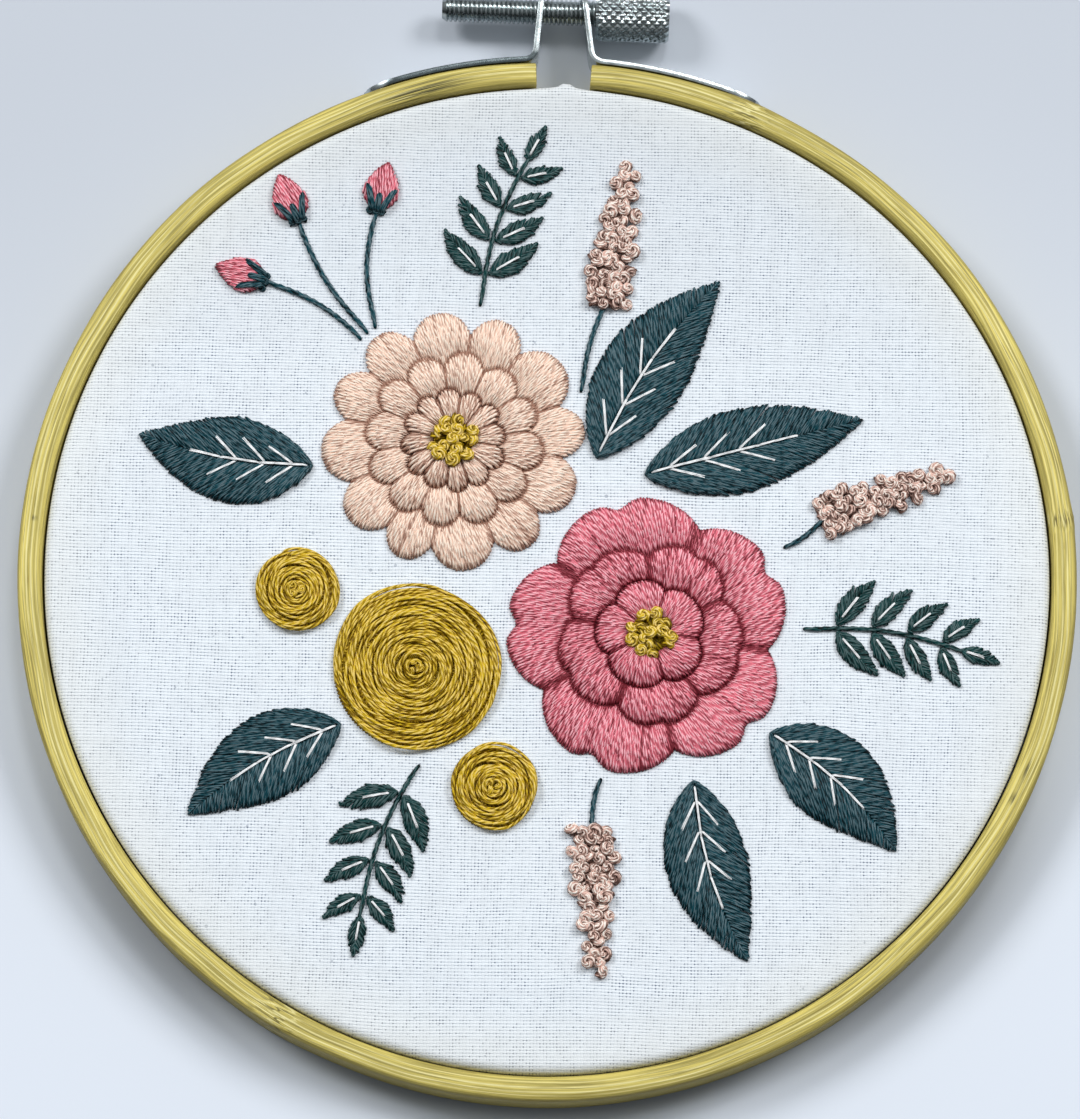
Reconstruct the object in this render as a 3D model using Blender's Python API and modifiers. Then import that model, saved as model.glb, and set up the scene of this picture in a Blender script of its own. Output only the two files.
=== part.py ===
"""Hoop embroidery art: a stitched cotton cloth held in a split bamboo hoop with a thumbscrew.

Lengths are in millimetres from the rings' common centre on the hoop's back face, and turn
into metres as each mesh is made. The hoop lies on its back: +Z is the worked side of the
cloth and +Y points to the screw. The posy is a plain one of common flower and leaf forms.
"""

from math import atan2, cos, exp, hypot, pi, radians, sin, sqrt

import bmesh
import bpy
from mathutils import Matrix, Vector

MM = 0.001
CLEARANCE = 0.3

# The two bamboo rings
OUTER_RING_INNER_R = 76.9
OUTER_RING_WALL = 3.7
OUTER_RING_R = OUTER_RING_INNER_R + OUTER_RING_WALL
OUTER_RING_DEPTH = 9.4
SPLIT_WIDTH = 8.4
INNER_RING_WALL = 4.0
INNER_RING_R = 75.4
INNER_RING_DEPTH = 7.8
RING_EDGE_R = 0.9
RING_STEPS = 72

# The cloth, drawn over the inner ring and down between the two
CLOTH_THICK = 1.0
CLOTH_UNDERSIDE = INNER_RING_DEPTH + CLEARANCE
CLOTH_TOP = CLOTH_UNDERSIDE + CLOTH_THICK
SKIRT_OUTER_R = OUTER_RING_INNER_R - CLEARANCE
SKIRT_INNER_R = INNER_RING_R + CLEARANCE
SKIRT_HEM = 1.5
CLOTH_CORNER_R = 1.5
PUCKER_RISE = 0.9
PUCKER_SPREAD = radians(1.3)

# The steel ears and the screw through them
STRAP_THICK = 0.8
STRAP_WIDTH = 8.0
STRAP_R = OUTER_RING_R + CLEARANCE + STRAP_THICK / 2
STRAP_ARC = 31.5
STRAP_TIP = 4.0
EAR_BEND = 1.8
SCREW_Y = 89.8
SCREW_Z = OUTER_RING_DEPTH / 2
THREAD_R = 2.0
EAR_HOLE_R = THREAD_R + 0.5
LEFT_EAR_FOOT, LEFT_EAR_AT_SCREW = -4.5, -3.9
RIGHT_EAR_FOOT, RIGHT_EAR_AT_SCREW = 4.4, 3.1
SCREW_LEFT_END = -19.2
HEAD_START, HEAD_END = 4.7, 16.1
HEAD_R = 4.25

# The origin is under the middle of the whole thing, so the rings sit a little towards -Y
RINGS_Y = -(SCREW_Y + HEAD_R - OUTER_RING_R) / 2

# Stitched motifs: low raised forms just clear of the cloth
STITCH_LOW = CLOTH_TOP + CLEARANCE
STITCH_EDGE = 0.3

ROSE_CENTRE, ROSE_R, ROSE_PETALS, ROSE_TURN = (16.0, -9.0), 22.0, 5, radians(100)
DAISY_CENTRE, DAISY_R, DAISY_PETALS, DAISY_TURN = (-15.0, 20.0), 20.5, 12, radians(8)
FLOWER_EYE_R = 4.2
EYE_DIP = 0.2

# name: centre and radius
WHEELS = {
    "wheel_large": ((-19.5, -15.5), 13.4),
    "wheel_left": ((-38.0, -4.0), 7.0),
    "wheel_low": ((-7.0, -33.5), 7.2),
}

# name: base, tip, width, bend as a share of the length
LEAVES = {
    "leaf_top": ((7.0, 18.2), (25.0, 46.5), 13.5, 0.05),
    "leaf_right": ((14.5, 15.8), (47.5, 25.5), 13.0, 0.0),
    "leaf_low_right": ((34.6, -23.6), (54.0, -41.0), 13.5, 0.06),
    "leaf_low": ((23.2, -31.4), (32.0, -58.5), 12.5, -0.06),
    "leaf_left": ((-36.4, 15.4), (-63.0, 19.5), 13.5, 0.05),
    "leaf_low_left": ((-30.6, -24.4), (-53.0, -39.0), 13.0, -0.05),
}

# name: base, tip, bend as a share of the length
FERNS = {
    "fern_top": ((-11.5, 41.4), (-5.0, 65.0), 0.06),
    "fern_right": ((39.2, -7.5), (63.5, -10.0), 0.06),
    "fern_low": ((-18.5, -30.2), (-26.5, -54.0), -0.06),
}
FERN_PAIRS, FERN_STEM_W = 4, 0.9
LEAFLET_LENGTH, LEAFLET_WIDTH, LEAFLET_ANGLE = 9.4, 3.7, radians(48)
FERN_FIRST, FERN_LAST = 0.20, 0.86
FERN_HEIGHT = 1.0

# name: foot of its stem, foot of its knots, tip, bend as a share of the stem's length
SPIRES = {
    "spire_top": ((4.4, 28.4), (7.6, 42.5), (10.5, 64.0), 0.05),
    "spire_right": ((36.0, 5.0), (42.0, 10.0), (60.5, 17.5), -0.06),
    "spire_low": ((9.0, -31.4), (8.0, -39.5), (9.5, -61.0), -0.05),
}
SPIRE_WIDTH, KNOT_PITCH = 7.4, 2.3
STEM_R = 0.5

# name: foot of its stem, foot of the bud, bend as a share of the stem's length
BUDS = {
    "bud_left": ((-29.6, 35.6), (-44.5, 44.0), -0.07),
    "bud_middle": ((-28.6, 36.6), (-40.0, 53.5), 0.06),
    "bud_right": ((-27.4, 37.4), (-28.2, 55.5), 0.08),
}
BUD_LENGTH, BUD_WIDTH = 8.0, 5.4

# name: base colour, roughness, metallic
FINISHES = {
    "bamboo": ((0.58, 0.47, 0.15), 0.45, 0.0),
    "cotton": ((0.86, 0.87, 0.90), 0.9, 0.0),
    "zinc": ((0.62, 0.64, 0.67), 0.3, 1.0),
    "rose_thread": ((0.56, 0.13, 0.21), 0.6, 0.0),
    "peach_thread": ((0.82, 0.52, 0.41), 0.6, 0.0),
    "mustard_thread": ((0.50, 0.27, 0.02), 0.6, 0.0),
    "teal_thread": ((0.030, 0.095, 0.120), 0.6, 0.0),
    "green_thread": ((0.008, 0.060, 0.055), 0.6, 0.0),
}


def clear_scene():
    for old in list(bpy.data.objects):
        bpy.data.objects.remove(old, do_unlink=True)


def collection(name):
    made = bpy.data.collections.new(name)
    bpy.context.scene.collection.children.link(made)
    return made


def finish(name):
    """A Principled material from the table of finishes."""
    made = bpy.data.materials.get(name)
    if made:
        return made
    colour, roughness, metallic = FINISHES[name]
    made = bpy.data.materials.new(name)
    made.use_nodes = True
    shader = made.node_tree.nodes["Principled BSDF"]
    shader.inputs["Base Color"].default_value = (*colour, 1.0)
    shader.inputs["Roughness"].default_value = roughness
    shader.inputs["Metallic"].default_value = metallic
    return made


def empty(name, place, parent=None):
    made = bpy.data.objects.new(name, None)
    PART.objects.link(made)
    made.parent = parent
    made.location = Vector(place) * MM
    return made


def piece(name, mesh, material, parent):
    """An object from a mesh that is drawn in millimetres from its parent."""
    if isinstance(mesh, bmesh.types.BMesh):
        form = mesh
        mesh = bpy.data.meshes.new(name)
        form.to_mesh(mesh)
        form.free()
    mesh.transform(Matrix.Scale(MM, 4))
    mesh.shade_smooth()
    mesh.set_sharp_from_angle(angle=radians(40))
    mesh.materials.clear()
    mesh.materials.append(finish(material))
    made = bpy.data.objects.new(name, mesh)
    PART.objects.link(made)
    made.parent = parent
    return made


def turned(section, axis, steps, sweep=2 * pi, closed=True):
    """A section of points spun about an axis through the origin.

    A closed section makes a ring, or a bent bar with filled ends under a full turn.
    An open one starts and ends on the axis.
    """
    form = bmesh.new()
    points = [form.verts.new(point) for point in section]
    ends = points[1:] + points[:1] if closed else points[1:]
    edges = [form.edges.new(pair) for pair in zip(points, ends)]
    bmesh.ops.spin(form, geom=points + edges, axis=axis, cent=(0, 0, 0), angle=sweep, steps=steps)
    bmesh.ops.remove_doubles(form, verts=form.verts, dist=0.001)
    rims = [edge for edge in form.edges if edge.is_boundary]
    if rims:
        bmesh.ops.holes_fill(form, edges=rims)
    bmesh.ops.recalc_face_normals(form, faces=form.faces)
    return form


def quarter(centre, radius, start, steps):
    """Points of a quarter turn, start in quarter turns from the first axis."""
    angles = [pi / 2 * (start + i / steps) for i in range(steps + 1)]
    return [(centre[0] + radius * cos(a), centre[1] + radius * sin(a)) for a in angles]


def ring_section(inner_r, outer_r, depth):
    """A ring's rounded section as radius and height."""
    low, high = RING_EDGE_R, depth - RING_EDGE_R
    near, far = inner_r + RING_EDGE_R, outer_r - RING_EDGE_R
    corners = (((far, high), 0), ((near, high), 1), ((near, low), 2), ((far, low), 3))
    return [point for centre, start in corners for point in quarter(centre, RING_EDGE_R, start, 2)]


def build_rings():
    half_split = SPLIT_WIDTH / 2 / (OUTER_RING_R - OUTER_RING_WALL / 2)
    start = Matrix.Rotation(pi / 2 + half_split, 4, "Z")
    section = ring_section(OUTER_RING_INNER_R, OUTER_RING_R, OUTER_RING_DEPTH)
    placed = [start @ Vector((r, 0, z)) for r, z in section]
    outer = turned(placed, (0, 0, 1), RING_STEPS, sweep=2 * (pi - half_split))
    piece("outer_ring", outer, "bamboo", RINGS)
    section = ring_section(INNER_RING_R - INNER_RING_WALL, INNER_RING_R, INNER_RING_DEPTH)
    inner = turned([(r, 0, z) for r, z in section], (0, 0, 1), RING_STEPS)
    piece("inner_ring", inner, "bamboo", RINGS)


def build_cloth():
    """One sheet: a flat face, a rounded edge and a skirt that ends in a cut hem."""
    outer_corner = (SKIRT_OUTER_R - CLOTH_CORNER_R, CLOTH_TOP - CLOTH_CORNER_R)
    inner_r = CLOTH_CORNER_R - (SKIRT_OUTER_R - SKIRT_INNER_R)
    inner_corner = (SKIRT_INNER_R - inner_r, CLOTH_UNDERSIDE - inner_r)
    face = [(0, CLOTH_TOP), (ROSE_R, CLOTH_TOP), (INNER_RING_R * 0.7, CLOTH_TOP)]
    over = quarter(outer_corner, CLOTH_CORNER_R, 0, 3)[::-1]
    hem = [(SKIRT_OUTER_R, SKIRT_HEM), (SKIRT_INNER_R, SKIRT_HEM)]
    under = quarter(inner_corner, inner_r, 0, 2)
    back = [(INNER_RING_R * 0.7, CLOTH_UNDERSIDE), (0, CLOTH_UNDERSIDE)]
    section = [(r, 0, z) for r, z in face + over + hem + under + back]
    cloth = turned(section, (0, 0, 1), RING_STEPS, closed=False)
    for point in cloth.verts:
        reach = hypot(point.co.x, point.co.y)
        if reach > SKIRT_INNER_R:
            turn = atan2(point.co.x, point.co.y)
            rise = PUCKER_RISE * exp(-((turn / PUCKER_SPREAD) ** 2))
            point.co.xy *= (reach + rise) / reach
    piece("cloth", cloth, "cotton", RINGS)


def ear_path(foot, at_screw):
    """Middle line of a strap: along the ring, round a tight bend and up past the screw."""
    side = 1 if foot > 0 else -1
    corner = Vector((foot, sqrt(STRAP_R**2 - foot**2)))
    top = Vector((at_screw, SCREW_Y))
    up = (top - corner).normalized()
    first = abs(foot) + EAR_BEND
    steps = 9
    line = []
    for i in range(steps + 1):
        turn = (STRAP_ARC * (steps - i) + first * i) / steps / STRAP_R
        line.append((Vector((side * sin(turn), cos(turn))) * STRAP_R, min(1, 0.35 + STRAP_ARC / STRAP_TIP * i / steps)))
    before, after = line[-1][0], corner + up * EAR_BEND
    for t in (0.25, 0.5, 0.75):
        line.append((before * (1 - t) ** 2 + corner * 2 * t * (1 - t) + after * t * t, 1))
    line.append((after, 1))
    for share in (0.0, 0.45, 0.75, 0.95):
        line.append((top + up * STRAP_WIDTH / 2 * share, sqrt(1 - share**2)))
    return line


def build_ear(name, foot, at_screw):
    form = bmesh.new()
    columns = (-1, -0.5, 0, 0.5, 1)
    rows = [
        [form.verts.new((at.x, at.y, SCREW_Z + STRAP_WIDTH / 2 * wide * c)) for c in columns]
        for at, wide in ear_path(foot, at_screw)
    ]
    for low, high in zip(rows, rows[1:]):
        for i in range(len(columns) - 1):
            form.faces.new((low[i], low[i + 1], high[i + 1], high[i]))
    ear = piece(name, form, "zinc", RINGS)
    wall = ear.modifiers.new("wall", "SOLIDIFY")
    wall.thickness, wall.offset = STRAP_THICK * MM, 0
    cutter = drill(name + "_hole", (at_screw, SCREW_Y, SCREW_Z))
    hole = ear.modifiers.new("hole", "BOOLEAN")
    hole.object, hole.operation = cutter, "DIFFERENCE"


def drill(name, place):
    form = bmesh.new()
    bmesh.ops.create_cone(form, cap_ends=True, segments=20, radius1=EAR_HOLE_R, radius2=EAR_HOLE_R, depth=6)
    form.transform(Matrix.Translation(place) @ Matrix.Rotation(pi / 2, 4, "Y"))
    cutter = piece(name, form, "zinc", RINGS)
    PART.objects.unlink(cutter)
    CUTTERS.objects.link(cutter)
    cutter.hide_render, cutter.display_type = True, "WIRE"
    return cutter


def build_thumbscrew():
    """Plain rod and head on the screw's own axis, with chamfered ends."""
    chamfer = 0.4
    profile = (
        (SCREW_LEFT_END, 0),
        (SCREW_LEFT_END, THREAD_R - chamfer),
        (SCREW_LEFT_END + chamfer, THREAD_R),
        (HEAD_START, THREAD_R),
        (HEAD_START, HEAD_R - chamfer),
        (HEAD_START + chamfer, HEAD_R),
        (HEAD_END - chamfer, HEAD_R),
        (HEAD_END, HEAD_R - chamfer),
        (HEAD_END, 0),
    )
    form = turned([(x, r, 0) for x, r in profile], (1, 0, 0), 24, closed=False)
    axis = empty("screw_axis", (0, SCREW_Y, SCREW_Z), RINGS)
    piece("thumbscrew", form, "zinc", axis)


def dome(name, centre, outline, crown, segments, rings, material, low=STITCH_LOW):
    """A round motif: a ball with a flat underside, its rim on outline(angle).

    Its rings are evenly spaced, and crown(share, angle) is the height at a share of the
    way to the rim.
    """
    form = bmesh.new()
    bmesh.ops.create_uvsphere(form, u_segments=segments, v_segments=rings, radius=1)
    for point in form.verts:
        share = atan2(hypot(point.co.x, point.co.y), abs(point.co.z)) / (pi / 2)
        angle = atan2(point.co.y, point.co.x)
        height = crown(share, angle) if point.co.z > -0.001 else 0
        reach = share * outline(angle)
        point.co = (centre[0] + reach * cos(angle), centre[1] + reach * sin(angle), low + height)
    return piece(name, form, material, RINGS)


def route(base, tip, bend):
    """A gently bowed line as a function of the share along it, with its left-hand normal."""
    base, tip = Vector(base), Vector(tip)
    run = tip - base
    left = Vector((-run.y, run.x))

    def at(share):
        along = run + left * bend * pi * cos(pi * share)
        normal = Vector((-along.y, along.x)).normalized()
        return base + run * share + left * bend * sin(pi * share), normal

    return at


def lens(name, line, half_width, crown, segments, rings, material, low=STITCH_LOW):
    """A long motif along a line, with a flat underside and a rounded top."""
    form = bmesh.new()
    bmesh.ops.create_uvsphere(form, u_segments=segments, v_segments=rings, radius=1)
    for point in form.verts:
        share = (point.co.z + 1) / 2
        round_r = hypot(point.co.x, point.co.y)
        across, up = (point.co.x / round_r, point.co.y / round_r) if round_r > 0.001 else (0, 0)
        middle, normal = line(share)
        at = middle + normal * half_width(share) * across
        height = crown(share, across) * up + STITCH_EDGE if up > -0.001 else 0
        point.co = (at.x, at.y, low + height)
    return piece(name, form, material, RINGS)


def fold_over(angle, count):
    """Where an angle falls within its petal, from -1 to 1."""
    part = 2 * pi / count
    return ((angle + part / 2) % part) / part * 2 - 1


def bump(value, width):
    return exp(-((value / width) ** 2))


def puff(share):
    """Height of a padded petal across its length: full in the middle, low at both ends."""
    return sqrt(max(0, 1 - (2 * share - 1) ** 4))


def build_rose():
    """Five broad petals round five small ones, with a knotted eye."""
    inner_share = 0.52

    def outline(angle):
        s = fold_over(angle - ROSE_TURN, ROSE_PETALS)
        return ROSE_R * (1 - 0.17 * abs(s) ** 2.6 - 0.07 * bump(s, 0.14))

    def crown(share, angle):
        eye = FLOWER_EYE_R * 0.95 / ROSE_R
        if share < eye:
            return EYE_DIP
        if share < inner_share:
            gap = bump(abs(fold_over(angle - ROSE_TURN - pi / ROSE_PETALS, ROSE_PETALS)) - 1, 0.2)
            return 1.0 + 0.35 * puff(share / inner_share) - 0.3 * gap
        gap = bump(abs(fold_over(angle - ROSE_TURN, ROSE_PETALS)) - 1, 0.15)
        return STITCH_EDGE + 0.7 * puff((share - inner_share) / (1 - inner_share)) - 0.15 * gap

    dome("rose", ROSE_CENTRE, outline, crown, 60, 12, "rose_thread")
    build_eye("rose_eye", ROSE_CENTRE)


def build_daisy():
    """Twelve slender round-ended petals and a knotted eye."""

    def outline(angle):
        s = fold_over(angle - DAISY_TURN, DAISY_PETALS)
        return DAISY_R * (1 - 0.16 * abs(s) ** 2.2)

    def crown(share, angle):
        eye = FLOWER_EYE_R * 0.95 / DAISY_R
        if share < eye:
            return EYE_DIP
        gap = bump(abs(fold_over(angle - DAISY_TURN, DAISY_PETALS)) - 1, 0.3)
        return STITCH_EDGE + (0.9 - 0.35 * gap) * puff((share - eye) / (1 - eye))

    dome("daisy", DAISY_CENTRE, outline, crown, 72, 10, "peach_thread")
    build_eye("daisy_eye", DAISY_CENTRE)


def build_eye(name, centre):
    """A cushion of French knots, clear of the dip under it."""

    def outline(angle):
        return FLOWER_EYE_R * (0.94 + 0.06 * cos(9 * angle))

    def crown(share, angle):
        return STITCH_EDGE + 1.2 * sqrt(max(0, 1 - share**3)) * (0.92 + 0.08 * cos(6 * angle))

    dome(name, centre, outline, crown, 27, 8, "mustard_thread", STITCH_LOW + EYE_DIP + CLEARANCE)


def build_wheel(name, centre, radius):
    """A woven wheel rose: a low cushion whose thread winds round in steps."""
    coils = radius / 2.2

    def outline(angle):
        return radius * (0.985 + 0.015 * cos(5 * angle))

    def crown(share, angle):
        step = abs(sin(pi * (share * coils + angle / (2 * pi))))
        return STITCH_EDGE + (1.0 + 0.25 * step) * sqrt(max(0, 1 - share**4))

    dome(name, centre, outline, crown, 36 if radius > 10 else 24, 12, "mustard_thread")


def build_leaf(name, base, tip, width, bend):
    """A pointed leaf, full below its middle, with a shallow groove for its rib."""

    def half_width(share):
        return width / 2 * sin(pi * share**0.85) ** 0.9 + 0.15

    def crown(share, across):
        return 0.8 * sin(pi * min(0.97, share + 0.03)) ** 0.5 * (1 - 0.3 * bump(across, 0.2))

    lens(name, route(base, tip, bend), half_width, crown, 16, 14, "teal_thread")


def leaflet(at, heading, length, side):
    """Outline of one leaflet, out along one edge and back along the other."""
    along = Vector((cos(heading), sin(heading)))
    across = Vector((-along.y, along.x)) * side
    shares = (0.18, 0.42, 0.68, 0.9)
    half = [LEAFLET_WIDTH / 2 * length / LEAFLET_LENGTH * sin(pi * s**0.9) ** 0.8 for s in shares]
    out = [at + along * length * s + across * w for s, w in zip(shares, half)]
    back = [at + along * length * s - across * w for s, w in zip(shares, half)]
    return out + [at + along * length] + back[::-1]


def build_fern(name, base, tip, bend):
    """A sprig cut as one flat outline: a stem, leaflets in pairs and one at the tip."""
    line = route(base, tip, bend)
    spread = (FERN_LAST - FERN_FIRST) / (FERN_PAIRS - 1)
    places = [FERN_FIRST + spread * i for i in range(FERN_PAIRS)]
    sides = {}
    for side in (1, -1):
        foot, normal = line(0)
        outline = [foot + normal * side * FERN_STEM_W / 2]
        for share in places:
            at, normal = line(share)
            ahead = atan2(-normal.x, normal.y)
            heading = ahead + side * LEAFLET_ANGLE
            length = LEAFLET_LENGTH * (1.06 - 0.4 * share)
            edge = at + normal * side * FERN_STEM_W / 2
            outline += [edge - Vector((cos(ahead), sin(ahead))) * 0.5]
            outline += leaflet(edge, heading, length, side)
            outline += [edge + Vector((cos(ahead), sin(ahead))) * 0.5]
        sides[side] = outline
    end, normal = line(1)
    ahead = atan2(-normal.x, normal.y)
    top = leaflet(line(0.97)[0], ahead, LEAFLET_LENGTH * 0.7, -1)
    outline = sides[-1] + top + sides[1][::-1]
    drawn = bpy.data.curves.new(name, "CURVE")
    drawn.dimensions, drawn.fill_mode, drawn.extrude = "2D", "BOTH", FERN_HEIGHT / 2
    spline = drawn.splines.new("POLY")
    spline.points.add(len(outline) - 1)
    for point, at in zip(spline.points, outline):
        point.co = (at.x, at.y, 0, 1)
    spline.use_cyclic_u = True
    piece(name, mesh_of(drawn, STITCH_LOW + FERN_HEIGHT / 2), "green_thread", RINGS)


def mesh_of(drawn, height):
    """A drawn curve as a welded mesh, lifted to its height."""
    holder = bpy.data.objects.new("drawn", drawn)
    PART.objects.link(holder)
    seen = holder.evaluated_get(bpy.context.evaluated_depsgraph_get())
    mesh = bpy.data.meshes.new_from_object(seen)
    bpy.data.objects.remove(holder, do_unlink=True)
    form = bmesh.new()
    form.from_mesh(mesh)
    bmesh.ops.remove_doubles(form, verts=form.verts, dist=0.001)
    form.transform(Matrix.Translation((0, 0, height)))
    bmesh.ops.recalc_face_normals(form, faces=form.faces)
    form.to_mesh(mesh)
    form.free()
    return mesh


def build_stem(name, base, tip, bend):
    """A line of stem stitch as a thin round cord along the cloth."""
    line = route(base, tip, bend)
    drawn = bpy.data.curves.new(name, "CURVE")
    drawn.dimensions, drawn.bevel_depth, drawn.bevel_resolution = "3D", STEM_R, 1
    drawn.use_fill_caps = True
    spline = drawn.splines.new("POLY")
    steps = 8
    spline.points.add(steps)
    for i, point in enumerate(spline.points):
        at, _ = line(i / steps)
        point.co = (at.x, at.y, 0, 1)
    piece(name, mesh_of(drawn, STITCH_LOW + STEM_R), "teal_thread", RINGS)


def build_spire(name, stem_foot, knots_foot, tip, bend):
    """French knots crowded into a tapering spire on a stitched stem."""
    knots_foot, tip = Vector(knots_foot), Vector(tip)
    rows = (tip - knots_foot).length / KNOT_PITCH

    def half_width(share):
        taper = 1 - 0.78 * share**1.3
        ends = min(1, 8 * share + 0.3) * min(1, 8 * (1 - share) + 0.3)
        return SPIRE_WIDTH / 2 * taper * ends * (0.9 + 0.1 * cos(2 * pi * share * rows))

    def crown(share, across):
        lump = cos(2 * pi * share * rows) * cos(1.5 * pi * across)
        return (1.3 + 0.2 * lump) * min(1, 6 * share + 0.3, 6 * (1 - share) + 0.3)

    lens(name, route(knots_foot, tip, 0), half_width, crown, 12, 28, "peach_thread")
    gap = (knots_foot - Vector(stem_foot)).normalized() * (STEM_R + CLEARANCE)
    build_stem(name + "_stem", stem_foot, knots_foot - gap, bend)


def build_bud(name, stem_foot, bud_foot, bend):
    """A closed bud on a stitched stem."""
    bud_foot = Vector(bud_foot)
    end, normal = route(stem_foot, bud_foot, bend)(1)
    ahead = Vector((normal.y, -normal.x))

    def half_width(share):
        return BUD_WIDTH / 2 * sin(pi * share**0.72) ** 0.8 + 0.15

    def crown(share, across):
        return 0.9 * sin(pi * min(0.97, share + 0.03)) ** 0.5

    start = end + ahead * (STEM_R + CLEARANCE)
    lens(name, route(start, start + ahead * BUD_LENGTH, 0), half_width, crown, 14, 10, "rose_thread")
    build_stem(name + "_stem", stem_foot, bud_foot, bend)


def build_posy():
    build_rose()
    build_daisy()
    for name, (centre, radius) in WHEELS.items():
        build_wheel(name, centre, radius)
    for name, row in LEAVES.items():
        build_leaf(name, *row)
    for name, row in FERNS.items():
        build_fern(name, *row)
    for name, row in SPIRES.items():
        build_spire(name, *row)
    for name, row in BUDS.items():
        build_bud(name, *row)


clear_scene()
PART = collection("hoop_embroidery")
CUTTERS = collection("cutters")
RINGS = empty("rings_centre", (0, RINGS_Y, 0))
build_rings()
build_cloth()
build_ear("ear_left", LEFT_EAR_FOOT, LEFT_EAR_AT_SCREW)
build_ear("ear_right", RIGHT_EAR_FOOT, RIGHT_EAR_AT_SCREW)
build_thumbscrew()
build_posy()
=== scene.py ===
"""Looks of a stitched cotton cloth in a bamboo embroidery hoop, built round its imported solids.

Shapes are worked out in millimetres about the rings' common centre and turn into metres
as each mesh is made. Every stitch is a closed tube of thread in the mesh of its motif.
"""

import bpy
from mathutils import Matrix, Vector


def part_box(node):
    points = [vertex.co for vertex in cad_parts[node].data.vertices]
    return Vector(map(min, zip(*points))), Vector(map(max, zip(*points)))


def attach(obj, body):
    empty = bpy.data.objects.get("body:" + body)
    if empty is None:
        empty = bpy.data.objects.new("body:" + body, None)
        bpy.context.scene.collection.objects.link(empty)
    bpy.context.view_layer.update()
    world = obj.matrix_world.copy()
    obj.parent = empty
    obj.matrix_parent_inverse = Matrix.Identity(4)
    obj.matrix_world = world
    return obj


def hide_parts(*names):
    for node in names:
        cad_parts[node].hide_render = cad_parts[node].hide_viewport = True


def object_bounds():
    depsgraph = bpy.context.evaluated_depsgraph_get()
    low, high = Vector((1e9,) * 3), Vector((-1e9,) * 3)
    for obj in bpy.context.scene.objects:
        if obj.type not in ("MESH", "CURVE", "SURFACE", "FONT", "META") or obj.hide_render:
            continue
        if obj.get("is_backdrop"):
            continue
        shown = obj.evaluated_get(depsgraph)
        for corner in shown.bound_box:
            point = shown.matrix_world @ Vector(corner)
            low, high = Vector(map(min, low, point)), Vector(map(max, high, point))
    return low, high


bl_info = {
    "name": "Hoop embroidery art",
    "version": (1, 0, 0),
    "blender": (4, 5, 0),
    "location": "View3D > Sidebar > Embroidery",
    "description": "Dresses a bamboo hoop, its cotton cloth and a stitched posy",
    "category": "Add Mesh",
}

from math import asin, atan2, cos, pi, radians, sin, sqrt, tan, tau

import bpy
import numpy as np
from bpy.props import FloatProperty, FloatVectorProperty, IntProperty, PointerProperty
from mathutils import Matrix, Vector

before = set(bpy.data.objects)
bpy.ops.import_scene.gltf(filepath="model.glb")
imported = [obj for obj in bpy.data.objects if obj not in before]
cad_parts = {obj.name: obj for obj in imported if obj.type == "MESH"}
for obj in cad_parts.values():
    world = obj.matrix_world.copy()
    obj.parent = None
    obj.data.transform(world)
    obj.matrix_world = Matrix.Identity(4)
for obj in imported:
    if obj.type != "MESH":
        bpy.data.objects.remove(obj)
CAD_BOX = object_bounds()

# The rings and the cloth between them
MM = 0.001
INNER_LOW, INNER_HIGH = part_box("inner_ring")
OUTER_LOW, OUTER_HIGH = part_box("outer_ring")
CENTRE_Y = (INNER_LOW.y + INNER_HIGH.y) / 2
INNER_R, INNER_DEPTH = INNER_HIGH.x / MM, INNER_HIGH.z / MM
INNER_WALL, INNER_ROUND = 4.0, 0.8
OUTER_R, OUTER_DEPTH = (CENTRE_Y - OUTER_LOW.y) / MM, OUTER_HIGH.z / MM
OUTER_WALL, OUTER_ROUND = 3.7, 0.95
SPLIT, SPLIT_EASE = 8.4, 0.25
HALF_SPLIT = SPLIT / 2 / (OUTER_R - OUTER_WALL / 2)
CLOTH_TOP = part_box("cloth")[1].z / MM
CLOTH_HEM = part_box("cloth")[0].z / MM
CLOTH_R = OUTER_R - OUTER_WALL - 0.3
CLOTH_BEND, CLOTH_THICK = 1.5, 0.25

# The screw and the ears that it passes through
SCREW_LOW, SCREW_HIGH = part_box("thumbscrew")
SCREW_X0, SCREW_X1 = SCREW_LOW.x / MM, SCREW_HIGH.x / MM
SCREW_Z = (SCREW_LOW.z + SCREW_HIGH.z) / 2 / MM
SCREW_Y = ((SCREW_LOW.y + SCREW_HIGH.y) / 2 - CENTRE_Y) / MM
HEAD_R = (SCREW_HIGH.z - SCREW_LOW.z) / 2 / MM
HEAD_X0, HEAD_EASE, HEAD_CUT = 4.7, 0.45, 0.46
KNURLS, KNURL_LEAD = 20, 1.35
THREAD_R, THREAD_PITCH, THREAD_DEPTH = 2.0, 0.7, 0.34
STRAP_THICK, STRAP_WIDTH, STRAP_ROUND = 0.8, 8.0, 0.14
STRAP_R = OUTER_R + 0.3 + STRAP_THICK / 2
STRAP_ARC = STRAP_R * asin(-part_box("ear_left")[0].x / MM / (STRAP_R + STRAP_THICK / 2))
EAR_BEND = 1.8
EAR_HOLE_R = THREAD_R + 0.5
# Where each ear leaves its strap, and where it meets the screw
EARS = {"ear_left": (-4.5, -3.9), "ear_right": (4.4, 3.1)}

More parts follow.
